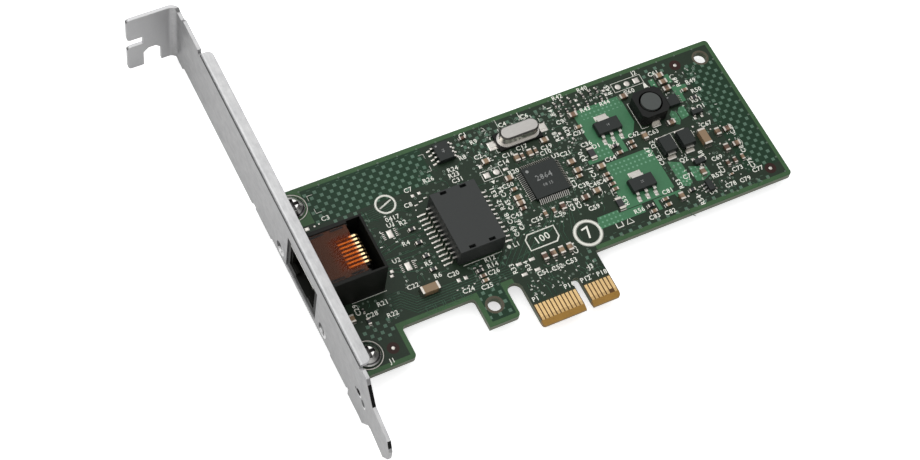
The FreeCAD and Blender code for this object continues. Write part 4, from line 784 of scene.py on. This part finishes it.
level_words = [
    ("C3", -46.2, 44.9), ("C7", -25.3, 44.3), ("C8", -27.0, 40.6), ("0417", -31.9, 38.9),
    ("U1", -33.0, 37.4), ("R2", -30.2, 36.9), ("R4", -31.9, 31.6), ("U2", -35.9, 28.4),
    ("R5", -29.4, 24.9), ("R6", -28.8, 21.2), ("C20", -25.4, 20.1), ("C22", -35.3, 20.9),
    ("C24", -24.0, 15.0), ("C25", -19.6, 14.2), ("R14", -15.9, 18.7), ("R12", -15.8, 20.4),
    ("C26", -16.5, 17.0), ("R21", -43.5, 19.7), ("C28", -47.0, 18.0), ("R22", -42.6, 16.3),
    ("J1", -47.7, 5.8), ("C1", -6.6, 53.0), ("C2", -5.9, 46.1), ("R8", -9.4, 47.4), ("R9", -5.0, 50.3),
    ("R24", -13.0, 45.4), ("R23", -13.4, 43.9), ("C31", -13.2, 42.3), ("R26", -19.6, 45.0),
    ("C4", 3.6, 52.0), ("C6", 9.6, 52.1), ("C9", 17.0, 47.3), ("C16", 1.0, 43.9), ("C17", 5.0, 44.5),
    ("C14", -1.0, 42.4), ("C19", 10.6, 42.3), ("C10", 9.7, 41.0), ("R20", 0.1, 39.2), ("U3", 11.5, 39.3),
    ("C21", 14.0, 38.9), ("C35", 19.8, 42.9), ("C36", 19.9, 39.3), ("C38", 13.9, 29.4),
    ("C40", 16.4, 28.6), ("C42", 18.9, 28.6), ("C43", -4.7, 28.3), ("C50", -2.9, 36.3), ("L1", -8.3, 21.4),
    ("C51", -6.0, 12.3), ("C52", -2.3, 12.2), ("C53", 1.5, 12.4), ("C55", -0.8, 25.4), ("C56", 4.9, 24.6),
    ("C59", 13.3, 23.0), ("R40", 26.4, 53.7), ("R42", 19.6, 53.9), ("R43", 24.4, 48.2),
    ("R44", 29.7, 48.0), ("J2", 40.6, 53.0), ("C60", 36.9, 48.6), ("C61", 45.1, 51.0), ("D1", 21.9, 37.9),
    ("R46", 26.0, 36.6), ("C62", 31.9, 37.2), ("P1", -10.8, 6.9), ("P11", -2.0, 7.0), ("P12", 2.3, 6.9),
    ("P18", 6.6, 6.9), ("J3", 5.0, 9.4), ("C63", 36.7, 36.0), ("C64", 23.4, 33.4), ("R49", 52.7, 45.5),
    ("R50", 52.7, 42.7), ("R51", 51.3, 40.2), ("Q1", 51.4, 38.1), ("C67", 50.0, 33.1), ("Q2", 39.8, 26.3),
    ("C69", 47.6, 23.6), ("C71", 38.6, 21.9), ("R52", 45.2, 19.4), ("C73", 50.8, 19.1),
    ("C77", 55.3, 17.0), ("C78", 47.0, 15.8), ("C79", 51.0, 15.7), ("U4", 42.0, 15.7), ("C81", 31.8, 20.1),
    ("C82", 29.6, 14.9), ("C83", 25.5, 15.2), ("R56", 22.9, 18.1),
]
upright_words = [
    ("C29", -49.6, 20.4), ("R41", 16.4, 50.9), ("R28", 14.2, 44.0), ("R29", 17.4, 44.4),
    ("R30", 17.4, 36.6), ("C37", 12.0, 31.2), ("C41", 17.5, 31.8), ("C44", -4.9, 35.3),
    ("C45", -4.9, 31.5), ("C46", -5.0, 25.7), ("R31", -6.8, 36.0), ("R32", -6.8, 32.2),
    ("C48", -6.8, 28.2), ("C49", -6.9, 24.6), ("R33", -11.9, 15.9), ("R34", -8.5, 15.3),
    ("C54", 3.8, 15.2), ("C57", 8.5, 25.6), ("C58", 10.3, 25.6), ("R45", 32.4, 51.0), ("R47", 33.0, 31.6),
    ("C65", 34.5, 28.4), ("R48", 49.4, 46.6), ("C68", 44.7, 25.6), ("C72", 47.2, 20.8),
    ("C75", 54.8, 19.2), ("R53", 35.6, 20.8), ("R54", 38.2, 14.9), ("C84", 54.8, 23.9),
    ("R55", 21.1, 21.8), ("C85", 55.1, 29.5), ("D2", 34.9, 33.0),
]


def raised_word(label, height, x, y, z, turned, thick, **look):
    """A word as a thin plate, centred on a place in millimetres."""
    bpy.ops.object.text_add(location=(0.0, 0.0, 0.0))
    word = bpy.context.object
    word.data.body = label
    word.data.size = height * mm
    word.data.align_x = "CENTER"
    word.data.align_y = "CENTER"
    word.data.extrude = thick * mm
    for setting, choice in look.items():
        setattr(word.data, setting, choice)
    bpy.ops.object.convert(target="MESH")
    word = bpy.context.object
    word.data.transform(Matrix.Translation((x * mm, y * mm, z * mm))
                        @ Matrix.Rotation(math.radians(turned), 4, "Z"))
    return word


name_height = 1.68
labels = [(name_height, 0, *word) for word in level_words]
labels += [(name_height, 90, *word) for word in upright_words]
labels += [(2.6, 6, "100", -2.0, 20.5), (4.4, 12, "7", 8.7, 17.5)]
for height, turned, label, x, y in labels:
    inked.append(raised_word(label, height, x, y, surface / mm + 0.012, turned, 0.014,
                             space_character=1.08, resolution_u=2, offset=0.018 * mm))
ink = finish("legend_ink", (0.84, 0.84, 0.76), 0.0, 0.55, 0.25, 0.22, 0.1, 0.1)
settle(join("board_legend", inked), ink)


# ---- Card edge ----
# Copper pads plated with nickel and hard gold.  Near the contact edge the milled
# bevel cuts them, and plugging in leaves faint lengthwise wipe marks.
def stretch(vector, *factors):
    """A place with each of its parts multiplied, which draws a pattern out in lines."""
    return put(tree, "ShaderNodeVectorMath", vector, factors, operation="MULTIPLY").outputs[0]


gold, tree, shader, spot = start_material("hard_gold", 1.0)
place = parts_of(spot)
wipes = noise(stretch(spot, 6.0, 0.5, 1.0), 1.6, 3.0, 0.6)
colour = blend(wipes, (0.55, 0.355, 0.15), (0.79, 0.575, 0.29))
colour = blend(product(near(place[1], 1.4, 0.9), wipes), colour, (0.36, 0.23, 0.09))
colour = blend(below(place[1], 0.35), colour, (0.80, 0.66, 0.42))
add_grain(tree, shader, spot, colour, 0.25, 0.10, 0.26, 0.15, 0.10)
dress(gold, "edge_contacts_front", "edge_contacts_back")


# ---- Mounting bracket ----
# Zinc plated sheet steel, sheared and folded in one press.  Its face is dull, with a fine
# mottle and faint rolling streaks.  The slope of the fold is painted dark as painted shade,
# the cut slopes of the tongue carry a painted dark reflection, the stamped marks get painted
# highlights and painted shade, and the lamp holes get painted bright rims.
zinc, tree, shader, spot = start_material("zinc_plate", 1.0)
place = parts_of(spot)
facing = face_direction()
streaks = noise(stretch(spot, 1.0, 0.16, 1.0), 2.2, 4.0, 0.7)
mottle = noise(spot, 0.45, 5.0, 0.65)
cloud = fade(maths(tree, "MULTIPLY_ADD", streaks, 0.5, product(mottle, 0.5)), 0.35, 0.65, 0.0, 1.0)
colour = blend(cloud, (0.39, 0.39, 0.395), (0.51, 0.51, 0.51))
colour = blend(maths(tree, "GREATER_THAN", place[1], 102.2), colour, (0.50, 0.50, 0.505))
# Painted shade: faces of the fold's outer slope, picked by the way they look, are painted dark.
painted_fold_shade = product(near(facing[2], 0.38, 0.22), below(facing[0], -0.6))
colour = blend(painted_fold_shade, colour, (0.10, 0.10, 0.10))
# Painted dark reflection on the cut slopes of the tongue, picked by the way the faces look.
painted_edge_reflection = product(near(facing[1], -0.75, 0.17), near(place[1], -10.1, 6.5),
                  maths(tree, "GREATER_THAN", facing[2], 0.4))
colour = blend(painted_edge_reflection, colour, (0.02, 0.02, 0.02))
jack_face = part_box("jack_housing")[0].x / mm
outside = below(place[0], jack_face + 0.15)
# Painted highlights and painted shade on the bracket's face: each of the two stamped dimples gets a bright
# crescent beside a dark spot, the small third dimple a dark spot, and each lamp hole a bright rim.
for y, z, reach, painted_tone in ((-0.8, 6.1, 0.95, 0.85), (-0.4, 6.4, 0.95, 0.05), (-3.3, 5.1, 0.95, 0.85),
                          (-2.9, 5.4, 0.95, 0.05), (0.9, 5.95, 0.5, 0.12), (40.8, 2.1, 1.75, 0.9),
                          (18.0, 2.1, 1.75, 0.9)):
    painted_light_spot = product(outside, below(away_from(y, z, (1, 2)), reach))
    colour = blend(painted_light_spot, colour, (painted_tone, painted_tone, painted_tone))
add_grain(tree, shader, spot, colour, 0.16, 0.16, 0.44, 0.16, 0.22, 0.09)
dress(zinc, "bracket")


# ---- Bracket screws ----
# Pan heads with a cross recess, nickel plated and polished.  The recess is filled with painted
# shade, and the dome carries a painted dark reflection in a ring near its rim.
nickel, tree, shader, spot = start_material("screw_nickel", 1.0)
place = parts_of(spot)
from_axis = 100.0
for low, high in solids_of("bracket_screws"):
    from_axis = maths(tree, "MINIMUM", away_from((low.x + high.x) / 2, (low.y + high.y) / 2), from_axis)
from_axis = maths(tree, "DIVIDE", from_axis, (high.x - low.x) / 2)
# Painted shade fills the recess, and a thin ring near the rim of each head is a painted dark reflection.
painted_recess_shade = product(fade(place[2], surface / mm + 0.6, surface / mm + 1.75), below(from_axis, 0.62))
colour = blend(near(from_axis, 0.86, 0.05), (0.60, 0.59, 0.57), (0.12, 0.12, 0.12))
colour = blend(painted_recess_shade, colour, (0.025, 0.025, 0.025))
add_grain(tree, shader, spot, colour, 0.5, 0.12, 0.2, 0.12, 0.08, 0.12)
dress(nickel, "bracket_screws")


# ---- Network jack ----
# A black nylon shell, open above, with eight gold plated wires sprung over a carrier.
# A clear amber film covers the front of the chamber and colours what lies under it.  The
# wires under it are painted with an orange tint of the light through it, the film's middle
# carries a painted glow, brighter and clearer, and painted shade lies in dashes along its
# long edges.
nylon, tree, shader, spot = start_material("black_nylon", 0.0, 0.19)
place = parts_of(spot)
# Painted highlight: a bright line along the upper inner edge of the shell's front opening.
painted_rim_highlight = product(below(place[0], jack_face + 0.06), near(place[1], 30.4, 6.0), near(place[2], 11.1, 0.26))
colour = blend(painted_rim_highlight, (0.0055, 0.0058, 0.0045), (0.85, 0.85, 0.83))
add_grain(tree, shader, spot, colour, 0.22, 0.3, 0.45, 0.14, 0.25, 0.07)
dress(nylon, "jack_housing")
carrier_nylon = finish("carrier_nylon", (0.009, 0.008, 0.007), 0.0, 0.5, 0.2, 0.25, 0.12, 0.2, 0.06, 0.3)
dress(carrier_nylon, "jack_contact_carrier")
film_low, film_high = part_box("jack_film")
film_end = film_high.x / mm
film_middle = (film_low.y + film_high.y) / 2 / mm
film_half = (film_high.y - film_low.y) / 2 / mm
wire_gold, tree, shader, spot = start_material("wire_gold", 1.0)
# Painted tint: the wires under the film are painted orange, for the light that reaches them through it.
painted_film_tint = fade(parts_of(spot)[0], film_end - 0.3, film_end + 0.5)
colour = blend(painted_film_tint, (0.82, 0.61, 0.33), (0.98, 0.22, 0.02))
add_grain(tree, shader, spot, colour, 0.2, 0.1, 0.22, 0.1, 0.08)
dress(wire_gold, "jack_contacts")
amber, tree, shader, spot = start_material("amber_film", 0.0, 0.15)
place = parts_of(spot)
aside = maths(tree, "ABSOLUTE", maths(tree, "SUBTRACT", place[1], film_middle - 0.4))
# Painted glow: the film's middle is given a brighter, deeper amber and lets more through.
painted_glow = product(fade(place[0], film_end - 6.5, film_end - 3.0, 0.0, 1.0), fade(aside, 3.6, 4.8))
colour = blend(painted_glow, (0.062, 0.016, 0.003), (0.16, 0.020, 0.001))
# Painted shade: dark dashes along the film's long edges, over the gaps in the rim beside it.
edge = near(maths(tree, "ABSOLUTE", maths(tree, "SUBTRACT", place[1], film_middle)), film_half - 0.42, 0.27)
painted_gap_shade = maths(tree, "ADD", near(place[0], film_end - 7.35, 1.7), near(place[0], film_end - 2.45, 1.6))
colour = blend(product(edge, painted_gap_shade), colour, (0.001, 0.0008, 0.0006))
add_grain(tree, shader, spot, colour, 2.5, 0.12, 0.16, 0.05, 0.02)
tree.links.new(maths(tree, "MULTIPLY_ADD", painted_glow, -0.56, 0.86), shader.inputs["Alpha"])
dress(amber, "jack_film")


# ---- Isolation transformer ----
# A black epoxy moulding with four small vents in its top and two rows of tinned leads.
epoxy = finish("matt_epoxy", (0.028, 0.031, 0.030), 0.0, 0.55, 0.12, 0.22, 0.12, 0.3, 0.08, 0.38)
dress(epoxy, "transformer_body")
tin = finish("tinned_lead", (0.55, 0.53, 0.49), 1.0, 0.30, 0.25, 0.2, 0.18, 0.12, 0.03)
dress(tin, "transformer_leads", "memory_leads", "switch_leads", "regulator_upper_leads",
      "regulator_upper_tab", "regulator_lower_leads", "regulator_lower_tab", "inductor_clips",
      "diode_leads", "transistor_leads", "second_transistor_leads", "crystal_leads")


# ---- Controller and the small chips ----
# Transfer moulded packages, finer and a little darker than the transformer.  Plain
# numbers and a dot at the first lead are marked on them by laser, in pale grey.  The
# close-set leads of the controller and the reset chip are duller than the others, and
# painted shade darkens their faces that look towards -X.
fine_epoxy = finish("fine_epoxy", (0.0125, 0.0165, 0.0150), 0.0, 0.5, 0.07, 0.18, 0.1, 0.22, 0.05, 0.36)
dress(fine_epoxy, "controller_body", "memory_body", "switch_body", "reset_body", "transistor_body",
      "second_transistor_body", "regulator_upper_body", "regulator_lower_body", "diode_bodies")
dull_tin_with_painted_shade, tree, shader, spot = start_material("fine_lead", 1.0)
# Painted shade: faces of these leads that look towards -X are painted much darker.
colour = blend(below(face_direction()[0], -0.25), (0.42, 0.41, 0.38), (0.10, 0.10, 0.095))
add_grain(tree, shader, spot, colour, 0.25, 0.2, 0.36, 0.12, 0.15, 0.03)
dress(dull_tin_with_painted_shade, "controller_leads", "reset_leads")
marks = []
for node, label, height, down, turned in (
        ("controller_body", "2864", 2.2, 0.7, 0), ("controller_body", "08 15", 1.2, -1.5, 0),
        ("memory_body", "46", 1.1, 0.0, 90), ("regulator_upper_body", "18", 0.9, 0.0, 0),
        ("regulator_lower_body", "25", 0.9, 0.0, 0)):
    low, high = [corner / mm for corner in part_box(node)]
    marks.append(raised_word(label, height, (low.x + high.x) / 2, (low.y + high.y) / 2 + down,
                             high.z + 0.004, turned, 0.006, resolution_u=1))
for node, inset, radius in (("controller_body", 1.2, 0.4), ("memory_body", 0.75, 0.25),
                            ("switch_body", 0.55, 0.2)):
    low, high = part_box(node)
    dot = flat_plate("first_lead_dot", arc(low.x / mm + inset, high.y / mm - inset, radius, 0, 330), 0.01)
    dot.data.transform(Matrix.Translation((0.0, 0.0, high.z - surface)))
    marks.append(dot)
laser = finish("laser_grey", (0.26, 0.265, 0.26), 0.0, 0.6, 0.1, 0.2, 0.1, 0.1)
settle(join("chip_marks", marks), laser)


# ---- Crystal ----
# A drawn can with a satin top, welded to a flanged base on a black plastic seat.  Its
# shoulder is painted dark as painted shade, and its sides carry a painted highlight.
can_metal, tree, shader, spot = start_material("drawn_nickel", 1.0)
lines = noise(stretch(spot, 0.35, 3.0, 1.0), 2.5, 3.0, 0.6)
colour = blend(lines, (0.365, 0.352, 0.335), (0.49, 0.475, 0.455))
facing = face_direction()
# Painted shade on the sloping shoulder and a painted highlight on the upright sides, picked by the way the
# faces look.
colour = blend(near(facing[2], 0.66, 0.28), colour, (0.10, 0.095, 0.09))
colour = blend(near(facing[2], 0.0, 0.3), colour, (0.98, 0.945, 0.89))
add_grain(tree, shader, spot, colour, 0.3, 0.08, 0.30, 0.12, 0.10, 0.12)
dress(can_metal, "crystal_can")
dress(nylon, "crystal_base")


# ---- Power inductor ----
# A dull ferrite sleeve round a drum core wound with enamelled copper wire.  The ground
# top of the core is paler than the sleeve.
ferrite = finish("ferrite", (0.0085, 0.0090, 0.0085), 0.0, 0.6, 0.15, 0.35, 0.12, 0.45, 0.10, 0.25)
dress(ferrite, "inductor_sleeve")
ground = finish("ground_ferrite", (0.062, 0.070, 0.066), 0.0, 0.5, 0.12, 0.18, 0.12, 0.25, 0.06, 0.4)
dress(ground, "inductor_core")
enamel = finish("enamelled_copper", (0.20, 0.065, 0.022), 0.6, 0.35, 0.15, 0.3, 0.15, 0.3)
dress(enamel, "inductor_winding")


# ---- Signal lamps ----
# Small white blocks whose clear lenses look out through the holes in the bracket.
lamp_white = finish("lamp_white", (0.62, 0.61, 0.56), 0.0, 0.4, 0.3, 0.08, 0.1, 0.1, 0.05)
dress(lamp_white, "lamp_bodies")
lens, tree, shader, spot = start_material("lamp_lens", 0.0)
shader.inputs["Transmission Weight"].default_value = 0.45
add_grain(tree, shader, spot, (0.26, 0.27, 0.25), 0.4, 0.08, 0.12, 0.05, 0.05, 0.12)
dress(lens, "lamp_lenses")


# ---- Chip capacitors and resistors ----
# Fired ceramic bodies, tan to brown on the capacitors and glazed black on the
# resistors, with tinned ends wet with solder.
tan, tree, shader, spot = start_material("capacitor_ceramic", 0.0)
shade = fade(noise(spot, 0.31, 1.0, 0.5), 0.40, 0.60, 0.0, 1.0)
colour = blend(shade, (0.105, 0.052, 0.030), (0.300, 0.200, 0.118))
add_grain(tree, shader, spot, colour, 0.2, 0.15, 0.42, 0.12, 0.2, 0.06)
dress(tan, "capacitors")
fired = finish("line_ceramic", (0.250, 0.165, 0.090), 0.0, 0.42, 0.25, 0.14, 0.12, 0.2, 0.08)
dress(fired, "line_capacitors")
glaze = finish("resistor_glaze", (0.016, 0.016, 0.018), 0.0, 0.35, 0.2, 0.2, 0.1, 0.15, 0.04)
dress(glaze, "resistors")
wet = finish("soldered_end", (0.58, 0.54, 0.49), 1.0, 0.34, 0.3, 0.25, 0.2, 0.35, 0.06)
dress(wet, "capacitor_ends", "resistor_ends", "line_capacitor_ends")
